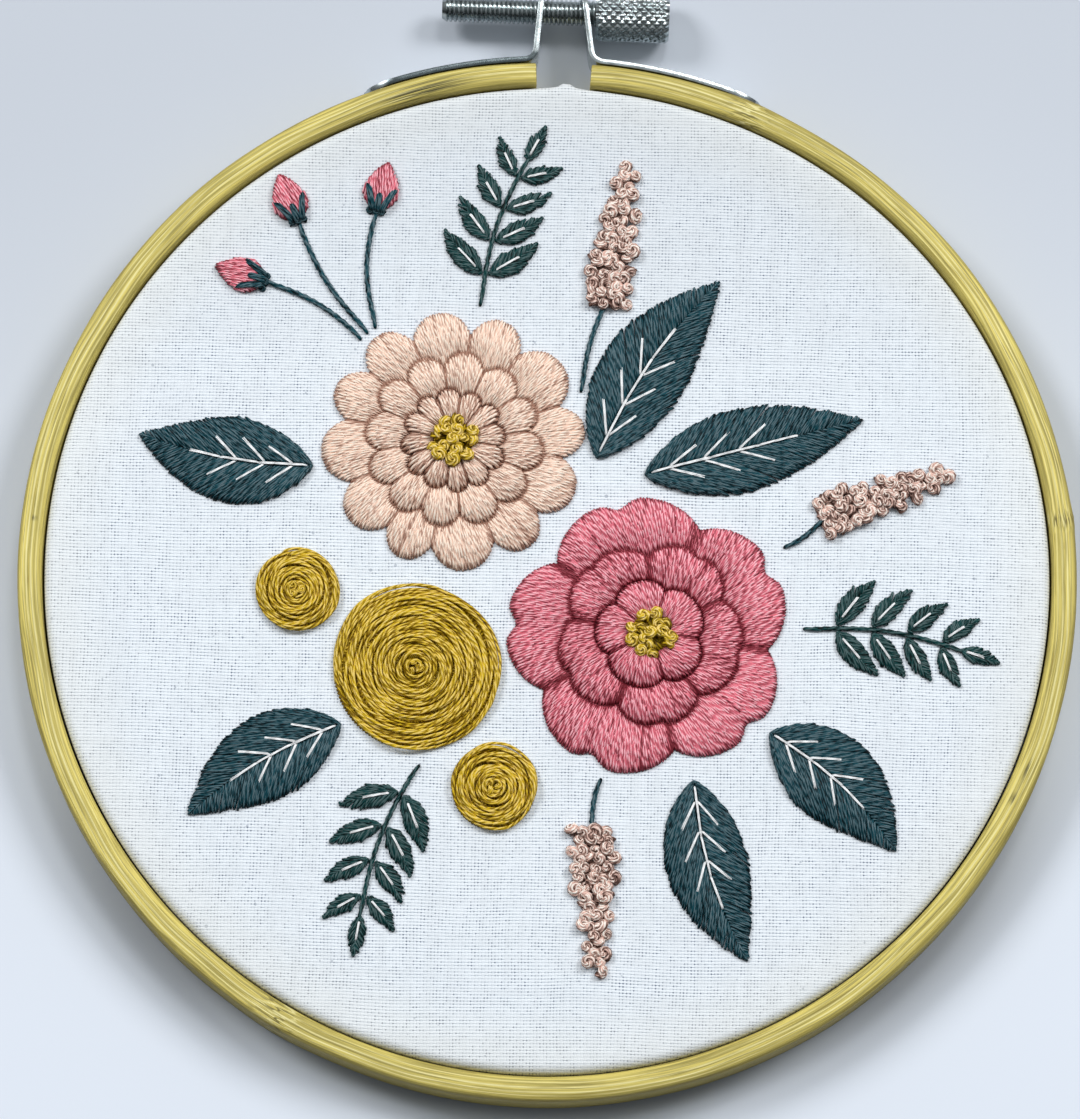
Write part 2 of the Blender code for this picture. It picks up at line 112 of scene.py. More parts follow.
# Motifs as in the solids: places and sizes in millimetres, bends as a share of the length.
# A round of petals has its turn as a share of a petal, its reach as a share of the radius,
# the notch at a petal's tip, the height of its foot, its padding and its tone.
ROSE = {
    "centre": (16.0, -9.0), "radius": 22.0, "petals": 5, "turn": radians(100),
    "blunt": 2.6, "sway": 0.04, "crisp": 3.5,
    "rounds": (
        (0.0, 1.0, 0.07, 0.25, 0.85, 0.52),
        (0.46, 0.66, 0.05, 0.75, 0.85, 0.46),
        (0.1, 0.39, 0.0, 1.15, 0.80, 0.56),
    ),
}
DAISY = {
    "centre": (-15.0, 20.0), "radius": 20.5, "petals": 12, "turn": radians(8),
    "blunt": 2.3, "sway": 0.05, "crisp": 2.5,
    "rounds": (
        (0.0, 1.0, 0.0, 0.25, 0.85, 0.60),
        (0.5, 0.68, 0.0, 0.70, 0.80, 0.50),
        (0.0, 0.40, 0.0, 1.10, 0.70, 0.42),
    ),
}
PETAL_DROOP, HEART_R, EYE_R, EYE_SPOKES = 0.17, 2.6, 4.2, 34
# A ground of stitches, the stitches that show, and odd short ones that break their rows:
# the shares of a petal's reach that a tier runs between, and how far it is sunk
TIERS = ((1.0, 0.0, 0.22), (1.0, 0.0, 0.0), (0.86, 0.30, -0.04))
WHEELS = {
    "wheel_large": ((-19.5, -15.5), 13.4),
    "wheel_left": ((-38.0, -4.0), 7.0),
    "wheel_low": ((-7.0, -33.5), 7.2),
}
SPOKE_PITCH = 0.62
LEAVES = {
    "leaf_top": ((7.0, 18.2), (25.0, 46.5), 13.5, 0.05),
    "leaf_right": ((14.5, 15.8), (47.5, 25.5), 13.0, 0.0),
    "leaf_low_right": ((34.6, -23.6), (54.0, -41.0), 13.5, 0.06),
    "leaf_low": ((23.2, -31.4), (32.0, -58.5), 12.5, -0.06),
    "leaf_left": ((-36.4, 15.4), (-63.0, 19.5), 13.5, 0.05),
    "leaf_low_left": ((-30.6, -24.4), (-53.0, -39.0), 13.0, -0.05),
}
FERNS = {
    "fern_top": ((-11.5, 41.4), (-5.0, 65.0), 0.06),
    "fern_right": ((39.2, -7.5), (63.5, -10.0), 0.06),
    "fern_low": ((-18.5, -30.2), (-26.5, -54.0), -0.06),
}
LEAFLET_LENGTH, LEAFLET_WIDTH, LEAFLET_ANGLE = 9.4, 3.7, radians(48)
LEAFLET_PLACES = (0.20, 0.42, 0.64, 0.86)
SPIRES = {
    "spire_top": ((4.4, 28.4), (7.6, 42.5), (10.5, 64.0), 0.05),
    "spire_right": ((36.0, 5.0), (42.0, 10.0), (60.5, 17.5), -0.06),
    "spire_low": ((9.0, -31.4), (8.0, -39.5), (9.5, -61.0), -0.05),
}
SPIRE_WIDTH, KNOT_PITCH = 7.4, 1.66
KNOT_R, KNOT_TURNS = 0.70, 1.75
# Painted shade and light along a knot: dark where it comes out of the cloth, and palest on top
KNOT_SHADES = np.concatenate([[-0.9, -0.8], np.linspace(-0.7, 0.2, 17), [0.1, -0.4, -0.9]])
BUDS = {
    "bud_left": ((-29.6, 35.6), (-44.5, 44.0), -0.07),
    "bud_middle": ((-28.6, 36.6), (-40.0, 53.5), 0.06),
    "bud_right": ((-27.4, 37.4), (-28.2, 55.5), 0.08),
}
BUD_LENGTH, BUD_WIDTH = 8.0, 5.4
STEM_WIDTH = 0.6

# How a straight stitch rises out of the cloth and dives back, along its length
SHARES = np.array([0, 0.03, 0.12, 0.5, 0.88, 0.97, 1])
TUCK = -0.3
LIFTS = np.array([TUCK, 0.45, 0.9, 1, 0.9, 0.45, TUCK])
TAPERS = np.array([0.6, 0.85, 1, 1, 1, 0.85, 0.6])
# Painted shade where a stitch dives into its holes: how much darker it is there
PAINTED_HOLE_SHADE = np.array([-0.9, -0.5, 0, 0, 0, -0.5, -0.9])
TUBE_SIDES, TUBE_HEIGHT = 6, 0.8

# Paler bundles of the bamboo's fibres, with a painted highlight along them where the rounded face
# catches the light: how far in from the rim, half width, strength
FIBRE_HIGHLIGHT_LANES = ((0.75, 0.14, 0.45), (1.25, 0.20, 0.75), (1.95, 0.26, 0.70), (2.75, 0.16, 0.45))
# Angles from the foot of the hoop, anticlockwise, with half widths in millimetres
NODE_MARKS = ((radians(-29.2), 5.0), (radians(158.6), 4.5), (radians(97.9), 1.8))
# The same, then how far in from the rim, its half width there, and how dark
STAINS = (
    (radians(-164.5), 9.5, 2.4, 2.0, 1.0),
    (radians(-162.0), 5.5, 2.6, 1.4, 0.8),
    (radians(69.3), 2.6, 1.9, 0.9, 0.9),
    (radians(65.6), 1.6, 2.1, 0.8, 0.8),
    (radians(-94.3), 0.7, 2.0, 0.7, 0.9),
)
PALE_FIBRE_HIGHLIGHT = (0.98, 0.90, 0.46)
PALE_RIDGE = (0.95, 0.86, 0.42)
DARK_FIBRE = (0.30, 0.205, 0.02)
FLECK = (0.28, 0.19, 0.05)
STAIN = (0.045, 0.042, 0.016)
RIM_SHADE = (0.20, 0.15, 0.03)
YARN_GAP_SHADE = (0.36, 0.42, 0.50)
PINHOLE_SHADE = (0.13, 0.16, 0.23)
SPECK = (0.10, 0.14, 0.22)
WARM_BOUNCE_SHADE = (0.84, 0.80, 0.68)
PAINTED_EDGE_SHADE = (0.05, 0.07, 0.075)
# How bright and how dull each piece of plate is, and how much painted shade darkens a strap's upper
# edge
PLATES = {"zinc": (1.0, 0.16, 0.0), "worn_zinc": (1.0, 0.20, 0.85), "rod_zinc": (0.80, 0.12, 0.0)}
# Each thread's colour, the millimetres in which its ply winds round once, its gloss, the
# share of the colour kept by the painted shade in its grooves, the paleness of the painted
# highlights on its crests, and how far the twist outweighs loose fibres
THREADS = {
    "rose_thread": ("rose", 1.7, 0.30, 0.26, 0.36, 0.26),
    "peach_thread": ("peach", 1.7, 0.36, 0.40, 0.20, 0.24),
    "blush_thread": ("blush", 1.3, 0.30, 0.16, 0.44, 0.28),
    "mustard_thread": ("mustard", 1.6, 0.30, 0.34, 0.17, 0.34),
    "gold_thread": ("mustard", 1.3, 0.28, 0.22, 0.28, 0.30),
    "teal_thread": ("teal", 2.1, 0.32, 0.08, 0.10, 0.28),
    "green_thread": ("green", 2.1, 0.32, 0.08, 0.085, 0.28),
    "white_thread": ("white", 2.4, 0.40, 0.40, 0.20, 0.24),
}
PLIES = 2

# Place in metres, size and share of the power of each soft light
SOFT_LIGHTS = (
    ((-1.12, 0.80, 1.42), 0.70, 3.7),
    ((1.12, 0.80, 1.42), 0.70, 3.6),
    ((0.30, 1.12, 2.20), 0.55, 2.2),
)
LIGHT_COLOUR = (0.97, 0.985, 1.0)
SKY_LOW, SKY_HIGH = (0.07, 0.08, 0.09, 1), (0.92, 0.97, 1.0, 1)
# The picture is 1080 x 1119, and 6.57 of its pixels make a millimetre at the cloth
PICTURE_HEIGHT, PICTURE_SCALE = 1119, 6.57
# From the rings' centre to the middle of the picture, in millimetres across and up it
PICTURE_SHIFT = (-1.1, 2.07)
SENSOR = 36


def amount(name, description, default, low, high, **kind):
    """A number that the user may change."""
    return FloatProperty(
        name=name, description=description, default=default, min=low, max=high, **kind
    )


def colour(name, hue):
    """A colour that the user may change."""
    return FloatVectorProperty(
        name=name, description=f"Colour of the {name.lower()}", subtype="COLOR",
        default=hue, min=0.0, max=1.0,
    )


class ThreadSettings(bpy.types.PropertyGroup):
    """Thicknesses of the threads in millimetres, and the seed of their small irregularities."""

    fill: amount("Filling pitch", "From one satin stitch to the next", 0.40, 0.2, 1.0)
    wheel: amount("Wheel strand", "Thickness of a strand in the wheels", 0.42, 0.2, 1.5)
    knot: amount("Knot thread", "Thickness of the thread in a French knot", 0.76, 0.3, 1.0)
    seed: IntProperty(name="Seed", description="Seed of the hand's unevenness", default=7, min=0)


class ClothSettings(bpy.types.PropertyGroup):
    """The cotton ground, in millimetres."""

    warp: amount("Warp pitch", "From one upright thread to the next", 0.515, 0.2, 1.5)
    weft: amount("Weft pitch", "From one level thread to the next", 0.49, 0.2, 1.5)
    pucker: amount("Pucker", "How far the cloth swells into the ring's split", 0.9, 0.0, 2.0)


class ColourSettings(bpy.types.PropertyGroup):
    """Base colours of the materials."""

    bamboo: colour("Bamboo", (0.68, 0.56, 0.145))
    cotton: colour("Cotton", (0.82, 0.86, 0.90))
    zinc: colour("Zinc", (0.48, 0.525, 0.53))
    rose: colour("Rose thread", (0.70, 0.155, 0.205))
    peach: colour("Peach thread", (0.92, 0.60, 0.475))
    blush: colour("Blush thread", (0.73, 0.465, 0.385))
    mustard: colour("Mustard thread", (0.64, 0.43, 0.016))
    teal: colour("Teal thread", (0.005, 0.055, 0.073))
    green: colour("Green thread", (0.003, 0.046, 0.046))
    white: colour("White thread", (0.80, 0.80, 0.80))
    floor: colour("Floor", (0.66, 0.70, 0.77))


class StageSettings(bpy.types.PropertyGroup):
    """Camera and lights."""

    distance: amount("Camera distance", "From the rings' centre", 1.0, 0.2, 3.0, unit="LENGTH")
    tilt: amount(
        "Tilt", "Camera's lean from straight above", radians(11.4), -pi, pi, unit="ROTATION"
    )
    roll: amount("Roll", "The hoop's clockwise turn", radians(1.9), -pi, pi, unit="ROTATION")
    key: amount("Key light", "Power of a soft light", 4.6, 0.0, 100.0)
    fill: amount("Fill light", "Strength of the sky", 0.44, 0.0, 10.0)


GROUPS = {
    "hoop_thread": ThreadSettings,
    "hoop_cloth": ClothSettings,
    "hoop_colours": ColourSettings,
    "hoop_stage": StageSettings,
}


def operation(kind, swapped=False):
    """A Python operator that adds a Math node."""

    def added(signal, *other):
        return signal.math(kind, *other, signal) if swapped else signal.math(kind, signal, *other)

    return added


class Signal:
    """One value in a material's nodes: arithmetic on it adds Math nodes."""

    def __init__(self, finish, socket):
        self.finish, self.socket = finish, socket

    def math(self, kind, *values):
        return self.finish.node("ShaderNodeMath", {"operation": kind}, *values)

    __add__, __radd__ = operation("ADD"), operation("ADD", True)
    __sub__, __rsub__ = operation("SUBTRACT"), operation("SUBTRACT", True)
    __mul__, __rmul__ = operation("MULTIPLY"), operation("MULTIPLY", True)
    __truediv__, __rtruediv__ = operation("DIVIDE"), operation("DIVIDE", True)
    __abs__, sine, floor = operation("ABSOLUTE"), operation("SINE"), operation("FLOOR")

    def smooth(self, low, high):
        """0 below low, 1 above high and a soft step between."""
        return self.finish.node(
            "ShaderNodeMapRange", {"interpolation_type": "SMOOTHSTEP"}, self, low, high, 0.0, 1.0
        )

    def hump(self, middle, width):
        """1 at middle, falling softly to 0 at width to either side."""
        return abs(self - middle).smooth(width, 0.0)


class Finish:
    """A Principled material under construction."""

    def __init__(self, name, **fixed):
        self.material = bpy.data.materials.new(name + "_finish")
        self.material.use_nodes = True
        self.tree = self.material.node_tree
        self.shader = self.tree.nodes["Principled BSDF"]
        self.wear(**fixed)

    def node(self, kind, settings, *values, out=0, **named):
        """Adds a node: its settings first, then its sockets in order or by name."""
        made = self.tree.nodes.new(kind)
        for key, value in settings.items():
            setattr(made, key, value)
        for socket, value in zip([s for s in made.inputs if s.enabled], values):
            self.feed(socket, value)
        for key, value in named.items():
            self.feed(made.inputs[key], value)
        outputs = [s for s in made.outputs if s.enabled]
        return Signal(self, made.outputs[out] if isinstance(out, str) else outputs[out])

    def feed(self, socket, value):
        if isinstance(value, Signal):
            self.tree.links.new(value.socket, socket)
        else:
            socket.default_value = value

    def wear(self, **signals):
        """Feeds the shader's sockets, and hands over the material."""
        for socket, value in signals.items():
            self.feed(self.shader.inputs[socket.replace("_", " ")], value)
        return self.material

    def place(self):
        """Object coordinates in millimetres about the rings' centre, as three numbers."""
        at = self.node("ShaderNodeTexCoord", {}, out="Object")
        at = self.node(
            "ShaderNodeMapping", {}, at, Location=(0, -CENTRE_Y / MM, 0), Scale=(1 / MM,) * 3
        )
        return [self.node("ShaderNodeSeparateXYZ", {}, at, out=axis) for axis in "XYZ"]

    def outward(self, x, y):
        """How far out from the rings' centre."""
        return x.math("SQRT", x * x + y * y)

    def vector(self, x=0.0, y=0.0, z=0.0):
        return self.node("ShaderNodeCombineXYZ", {}, x, y, z)

    def noise(self, at, scale=1.0, detail=2.0, rough=0.5):
        return self.node(
            "ShaderNodeTexNoise", {}, Vector=at, Scale=scale, Detail=detail, Roughness=rough
        )

    def random(self, x, y):
        """A number from 0 to 1 for each whole x and y."""
        settings = {"noise_dimensions": "2D"}
        return self.node("ShaderNodeTexWhiteNoise", settings, Vector=self.vector(x, y))

    def mix(self, share, first, second):
        """A colour between two others."""
        pair = [hue if isinstance(hue, Signal) else (*hue[:3], 1.0) for hue in (first, second)]
        return self.node("ShaderNodeMix", {"data_type": "RGBA"}, share, *pair)

    def bump(self, height, depth, strength):
        """A height in 0 to 1 pressed into the surface, its depth in millimetres."""
        return self.node(
            "ShaderNodeBump", {}, Strength=strength, Distance=depth * MM, Height=height
        )


def base_colour(name, factor=1.0):
    """One of the user's colours, made lighter or darker."""
    return shade(getattr(bpy.context.scene.hoop_colours, name), factor)


def shade(hue, factor):
    return tuple(min(1.0, channel * factor) for channel in tuple(hue)[:3])


def bamboo_finish():
    """Pale bamboo: fibres along the ring with painted highlights on their paler bundles, wavy node
    figures, a few stains, thin varnish, and painted shade at the ring's top, its foot and along
    both its rims.
    """
    base = base_colour("bamboo")
    made = Finish("bamboo", Coat_Weight=0.06, Coat_Roughness=0.3, Specular_IOR_Level=0.24)
    x, y, z = made.place()
    along = x.math("ARCTAN2", x, 0 - y) * OUTER_R
    out = made.outward(x, y)
    lane = out + (made.noise(made.vector(along * 0.022)) - 0.5) * 2.8

    def grain(run, across, rise, detail=2.0, rough=0.5, start=lane):
        """Noise drawn out along the ring."""
        at = made.vector(along * run, start * across, z * rise)
        return made.noise(at, 1.0, detail, rough)

    fibres = grain(0.05, 3.0, 3.0, 4.0, 0.66)
    fine = grain(0.10, 9.0, 9.0)
    streaks = grain(0.012, 1.1, 0.6)
    flecks = grain(0.25, 3.5, 3.5, start=out)
    hue = made.mix(fibres.smooth(0.34, 0.62), shade(base, 0.50), shade(base, 1.28))
    hue = made.mix(streaks.smooth(0.45, 0.62) * 0.45, hue, shade(base, 0.68))
    hue = made.mix(fine.smooth(0.45, 0.30) * 0.55, hue, DARK_FIBRE)
    # Painted shade: the ring darker at its top and foot than at its sides
    hue = made.mix((abs(x) / out).smooth(0.9, 0.3) * 0.26, hue, shade(base, 0.5))
    # Paler fibre bundles with a painted highlight along them
    for inset, width, depth in FIBRE_HIGHLIGHT_LANES:
        bright = lane.hump(OUTER_R - inset, width) * fibres.smooth(0.36, 0.58)
        hue = made.mix(bright * depth, hue, PALE_FIBRE_HIGHLIGHT)
    hue = made.mix(flecks.smooth(0.66, 0.80) * 0.45, hue, FLECK)
    for middle, width in NODE_MARKS:
        waves = grain(0.10, 1.1, 0.3, 3.0, 0.6, start=out)
        near = along.hump(middle * OUTER_R, width * 1.3)
        scales = ((waves * 3.2 + out * 0.75 + (along - middle * OUTER_R) * 0.10) * tau).sine()
        hue = made.mix(near * scales.smooth(0.70, 0.97) * 0.90, hue, shade(base, 0.24))
        hue = made.mix(near * scales.smooth(-0.55, -0.95) * 0.70, hue, PALE_RIDGE)
    for middle, width, inset, reach, depth in STAINS:
        near = along.hump(middle * OUTER_R, width) * out.hump(OUTER_R - inset, reach)
        hue = made.mix(near * fibres.smooth(0.58, 0.42) * depth, hue, STAIN)
    # Painted shade along the ring's outer rim and along its inner rim, where it meets the cloth
    rim = out.smooth(OUTER_R - 0.6, OUTER_R + 0.1)
    rim = rim + out.smooth(OUTER_R - OUTER_WALL + 0.5, CLOTH_R)
    return made.wear(
        Base_Color=made.mix(rim * 0.55, hue, RIM_SHADE),
        Roughness=0.42 + 0.22 * fibres,
        Normal=made.bump(fibres * 0.6 + fine * 0.4, 0.18, 0.9),
    )


def cotton_finish():
    """Plain-weave cotton with uneven yarns, painted shade in its pinholes and between its yarns,
    specks, painted warm shade near the ring and painted shade towards the top.
    """
    cloth, base = bpy.context.scene.hoop_cloth, base_colour("cotton")
    made = Finish(
        "cotton", Roughness=0.9, Sheen_Weight=0.2, Sheen_Roughness=0.5, Specular_IOR_Level=0.2
    )
    x, y, z = made.place()
    sway = (made.noise(made.vector(x, y), 0.03) - 0.5) * 2.4
    right = x + sway + y * 0.01
    ahead = y - x * 0.012 - sway * 0.7
    warp = right / cloth.warp
    weft = ahead / cloth.weft
    upright = abs((warp * pi).sine())
    level = abs((weft * pi).sine())
    slub_up = made.noise(made.vector(warp.floor() * 3.7, ahead * 0.15))
    slub_across = made.noise(made.vector(weft.floor() * 2.9, right * 0.15, 5.0))
    patches = made.noise(made.vector(x, y, 3.0), 0.45, 3.0, 0.65)
    dash = made.random(warp.floor(), (weft + 0.5).floor())
    pin = made.random((warp + 0.5).floor(), (weft + 0.5).floor())
    # Painted shade in the pinholes where the yarns cross, and in the gaps between rows and columns
    # of yarn
    pinhole_shade = ((1 - upright) * (1 - level)).smooth(0.10, 0.50) * (0.25 + pin.smooth(0.25, 0.9))
    pinhole_shade = pinhole_shade * (0.12 + patches.smooth(0.36, 0.66) * 0.65 + slub_up.smooth(0.42, 0.68) * 0.65)
    rows = 0.45 + 0.5 * dash + 0.4 * slub_across.smooth(0.35, 0.72)
    rows = (1 - level).smooth(0.35, 1.0) * rows
    column_gap_shade = (1 - upright).smooth(0.55, 1.0) * (0.3 + slub_up.smooth(0.50, 0.75))
    over = ((warp * pi).sine() * (weft * pi).sine()).smooth(-0.2, 0.2)
    bands = made.noise(made.vector(x * 0.6, y * 0.03), 1.0, 3.0)
    bands_across = made.noise(made.vector(x * 0.03, y * 0.8, 3.0), 1.0, 3.0)
    bands = (bands * 0.5 + bands_across * 0.5).smooth(0.42, 0.60)
    hue = made.mix(rows * 0.85 + column_gap_shade * 0.24, shade(base, 1.10), YARN_GAP_SHADE)
    hue = made.mix(pinhole_shade, hue, PINHOLE_SHADE)
    hue = made.mix(bands * 0.30, hue, shade(base, 0.88))
    specks = made.noise(made.vector(x, y, z), 1.1, 0.0).smooth(0.83, 0.86)
    hue = made.mix(specks * 0.4, hue, SPECK)
    # Painted warm shade on the cloth close to the ring, tinted by light bounced off the bamboo
    hue = made.mix(made.outward(x, y).smooth(64.0, CLOTH_R) * 0.22, hue, WARM_BOUNCE_SHADE)
    # Painted shade: the cloth darker towards the top of the hoop
    return made.wear(
        Base_Color=made.mix(y.smooth(15.0, 80.0) * 0.20, hue, shade(base, 0.35)),
        Normal=made.bump(upright * over + level * (1 - over), 0.05, 0.6),
    )


def zinc_finish(name, bright, dull, edge_shade):
    """Zinc plate with fine wear, and painted shade along a strap's upper edge."""
    base = base_colour("zinc", bright)
    made = Finish(name, Metallic=1.0)
    x, y, z = made.place()
    cloudy = made.noise(made.vector(x, y, z), 0.8, 3.0)
    fine = made.noise(made.vector(x, y, z), 2.2, 3.0)
    hue = made.mix(cloudy.smooth(0.3, 0.7), shade(base, 0.80), shade(base, 1.25))
    # Painted shade along a strap's upper edge, standing in for the lamp's reflection that it misses
    edge = z.smooth(SCREW_Z + 3.6, SCREW_Z + 3.85)
    edge = edge * made.outward(x, y).smooth(STRAP_R + 1.6, STRAP_R + 0.8)
    return made.wear(
        Base_Color=made.mix(edge * edge_shade, hue, PAINTED_EDGE_SHADE),
        Roughness=dull + 0.14 * fine,
        Normal=made.bump(fine, 0.012, 0.3),
    )


def thread_finish(name, own_colour, lay, gloss, deep, wash, twine):
    """Stranded cotton: painted highlights on the crests and painted shade in the grooves of the
    twist, and a tone along each stitch that carries its painted shade.
    """
    made, base = Finish(name, Specular_IOR_Level=0.14), base_colour(own_colour)
    # dark is the painted shade in the twist's grooves, pale the painted highlight on its crests
    dark = tuple(deep * channel * sqrt(channel / max(base)) for channel in base)
    pale = tuple(min(1, channel * 1.1 + wash) for channel in base)
    wound = made.node("ShaderNodeUVMap", {"uv_map": "wound"})
    round_it, along = [made.node("ShaderNodeSeparateXYZ", {}, wound, out=axis) for axis in "XY"]
    tone = made.node("ShaderNodeAttribute", {"attribute_name": "tone"}, out="Fac")
    fuzz = made.noise(made.vector(round_it * 6.0, along * 0.9), 1.0, 2.0, 0.65)
    slow = made.noise(made.vector(0.0, along * 0.35, 4.0), 1.0, 1.0)
    wind = round_it * PLIES + along / lay + slow * 1.6 + fuzz * 0.5
    twist = (wind * tau).sine() * 0.5 + 0.5
    light = tone * 0.36 + fuzz * (0.64 - twine) + twist * twine
    hue = made.mix(light.smooth(0.22, 0.58), dark, shade(base, 1.2))
    # Painted highlight: glints where the twist and loose fibres catch the light
    crest = (twist * 0.45 + fuzz * 0.85).smooth(0.60, 0.86) * tone.smooth(0.0, 0.5)
    return made.wear(
        Base_Color=made.mix(crest * 0.9, hue, pale),
        Roughness=gloss + 0.2 * fuzz,
        Normal=made.bump(twist * 0.6 + fuzz * 0.4, 0.12, 1.0),
    )


def floor_finish():
    """A smooth pale board, with painted light making it brighter towards the hoop's foot, and
    painted shadow close below the ring and off the sides of its lower half.
    """
    base = base_colour("floor")
    made = Finish("floor", Roughness=0.8)
    x, y, z = made.place()
    cloudy = made.noise(made.vector(x, y, z), 0.02)
    # Painted light: the board brighter towards the hoop's foot and a little to its right
    near = (y - x * 0.12 + (cloudy - 0.5) * 20).smooth(100.0, -80.0)
    hue = made.mix(near, shade(base, 0.86), shade(base, 1.18))
    out = made.outward(x, y)
    gap, down = out - OUTER_R, (0 - y) / out
    # Painted shadow: a narrow dark band just below the ring's foot, and a wider, softer one off its
    # lower sides
    foot = gap.smooth(3.0, 0.2) * down.smooth(0.86, 0.99) * 0.60
    painted_flank_shadow = gap.smooth(9.0, 0.5) * down.smooth(0.20, 0.72) * down.smooth(0.99, 0.74) * 0.50
    return made.wear(Base_Color=made.mix(foot + painted_flank_shadow, hue, shade(base, 0.10)))


def finish(name):
    """The material of that name, made when it is first asked for."""
    found = bpy.data.materials.get(name + "_finish")
    if found:
        return found
    if name in THREADS:
        return thread_finish(name, *THREADS[name])
    if name in PLATES:
        return zinc_finish(name, *PLATES[name])
    return {"bamboo": bamboo_finish, "cotton": cotton_finish, "floor": floor_finish}[name]()


def in_frame(points):
    """Millimetres about the rings' centre, as metres in the frame."""
    return np.asarray(points, float) * MM + (0, CENTRE_Y, 0)


def object_of(name, points, edges, faces):
    mesh = bpy.data.meshes.new(name)
    mesh.from_pydata(in_frame(points), edges, faces)
    made = bpy.data.objects.new(name, mesh)
    bpy.context.scene.collection.objects.link(made)
    pick(made)
    return made


def pick(piece):
    """Leaves only this piece selected, and active."""
    bpy.ops.object.select_all(action="DESELECT")
    piece.select_set(True)
    bpy.context.view_layer.objects.active = piece


def spun(name, section, steps, axis=(0, 0, 1), centre=(0, 0, 0), sweep=tau):
    """A line or loop of points turned about an axis, in edit mode."""
    links = [(i, i + 1) for i in range(len(section) - 1)]
    if sweep < tau:
        links.append((len(section) - 1, 0))
    elif np.allclose(section[0], section[-1]):
        section = section[:-1]
        links[-1] = (len(section) - 1, 0)
    made = object_of(name, section, links, [])
    bpy.ops.object.mode_set(mode="EDIT")
    bpy.ops.mesh.select_all(action="SELECT")
    middle = tuple(in_frame([centre])[0])
    bpy.ops.mesh.spin(steps=steps, angle=sweep, center=middle, axis=axis)
    bpy.ops.mesh.select_all(action="SELECT")
    bpy.ops.mesh.remove_doubles(threshold=1e-6)
    if sweep < tau:
        bpy.ops.mesh.fill_holes(sides=0)
    bpy.ops.mesh.normals_make_consistent(inside=False)
    bpy.ops.object.mode_set(mode="OBJECT")
    return made


def points_of(piece):
    """A piece's points in millimetres about the rings' centre."""
    at = np.zeros(len(piece.data.vertices) * 3)
    piece.data.vertices.foreach_get("co", at)
    return (at.reshape(-1, 3) - (0, CENTRE_Y, 0)) / MM


def reshape(piece, points):
    piece.data.vertices.foreach_set("co", in_frame(points).ravel())
    piece.data.update()


def apply(piece, kind, **settings):
    """Adds a modifier and applies it."""
    pick(piece)
    added = piece.modifiers.new(kind.lower(), kind)
    for key, value in settings.items():
        setattr(added, key, value)
    bpy.ops.object.modifier_apply(modifier=added.name)


def dress(piece, material, nodes, body="hoop", sharp=35):
    """Gives a piece its finish, the body it rides on and the solids it stands for."""
    piece.data.materials.clear()
    piece.data.materials.append(finish(material))
    pick(piece)
    if sharp:
        bpy.ops.object.shade_smooth_by_angle(angle=radians(sharp))
    else:
        bpy.ops.object.shade_smooth()
    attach(piece, body)
    if nodes:
        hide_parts(*nodes)


def quarter(centre, radius, start, steps):
    """Points of a quarter turn, start in quarter turns from the first axis."""
    angles = [pi / 2 * (start + i / steps) for i in range(steps + 1)]
    return [(centre[0] + radius * cos(a), centre[1] + radius * sin(a)) for a in angles]


def rounded_section(near, far, depth, edge, steps=4):
    """A ring's rounded section as radius and height."""
    low, high = edge, depth - edge
    corners = ((far - edge, high), (near + edge, high), (near + edge, low), (far - edge, low))
    return [at for start in range(4) for at in quarter(corners[start], edge, start, steps)]


def gauss(value, width):
    return np.exp(-((value / width) ** 2))


class HOOP_OT_rings(bpy.types.Operator):
    """Both bamboo rings, hand-bent and a little uneven"""

    bl_idname = "hoop.rings"
    bl_label = "Bamboo rings"

    def execute(self, context):
        section = rounded_section(OUTER_R - OUTER_WALL, OUTER_R, OUTER_DEPTH, OUTER_ROUND)
        start = pi / 2 - HALF_SPLIT
        section = [(r * cos(start), r * sin(start), z) for r, z in section]
        outer = spun("split_ring", section, 360, sweep=tau - 2 * HALF_SPLIT)
        self.uneven(outer, 0.10)
        self.soften_ends(outer)
        dress(outer, "bamboo", ["outer_ring"])
        section = rounded_section(INNER_R - INNER_WALL, INNER_R, INNER_DEPTH, INNER_ROUND)
        section = [(r, 0, z) for r, z in section + section[:1]]
        inner = spun("closed_ring", section, 240)
        self.uneven(inner, 0.06)
        dress(inner, "bamboo", ["inner_ring"])
        return {"FINISHED"}

    def uneven(self, ring, depth):
        """Slow waves in the wall, and the swell of each bamboo node."""
        at = points_of(ring)
        foot = np.arctan2(at[:, 0], -at[:, 1])
        out = np.hypot(at[:, 0], at[:, 1])
        middle = (out.min() + out.max()) / 2
        top = at[:, 2] > at[:, 2].max() / 2
        wave = np.sin(5 * foot + 1) + 0.7 * np.sin(11 * foot + 2) + 0.4 * np.sin(23 * foot)
        swell = sum(gauss((foot - mark) * OUTER_R, width) for mark, width in NODE_MARKS)
        grow = depth * (0.5 * wave + 0.9 + 1.6 * swell)
        at[:, :2] *= ((out + np.where(out > middle, grow, 0)) / out)[:, None]
        at[:, 2] += np.where(top, depth * (0.6 * np.sin(4 * foot) - 0.6 + swell), 0)
        reshape(ring, at)

    def soften_ends(self, ring):
        """Eases the sawn ends of the split."""
        pick(ring)
        for part in (*ring.data.vertices, *ring.data.edges):
            part.select = False
        for polygon in ring.data.polygons:
            polygon.select = len(polygon.vertices) > 4
        bpy.ops.object.mode_set(mode="EDIT")
        bpy.ops.mesh.select_mode(type="FACE")
        bpy.ops.mesh.region_to_loop()
        bpy.ops.mesh.bevel(offset=SPLIT_EASE * MM, segments=2, affect="EDGES")
        bpy.ops.object.mode_set(mode="OBJECT")


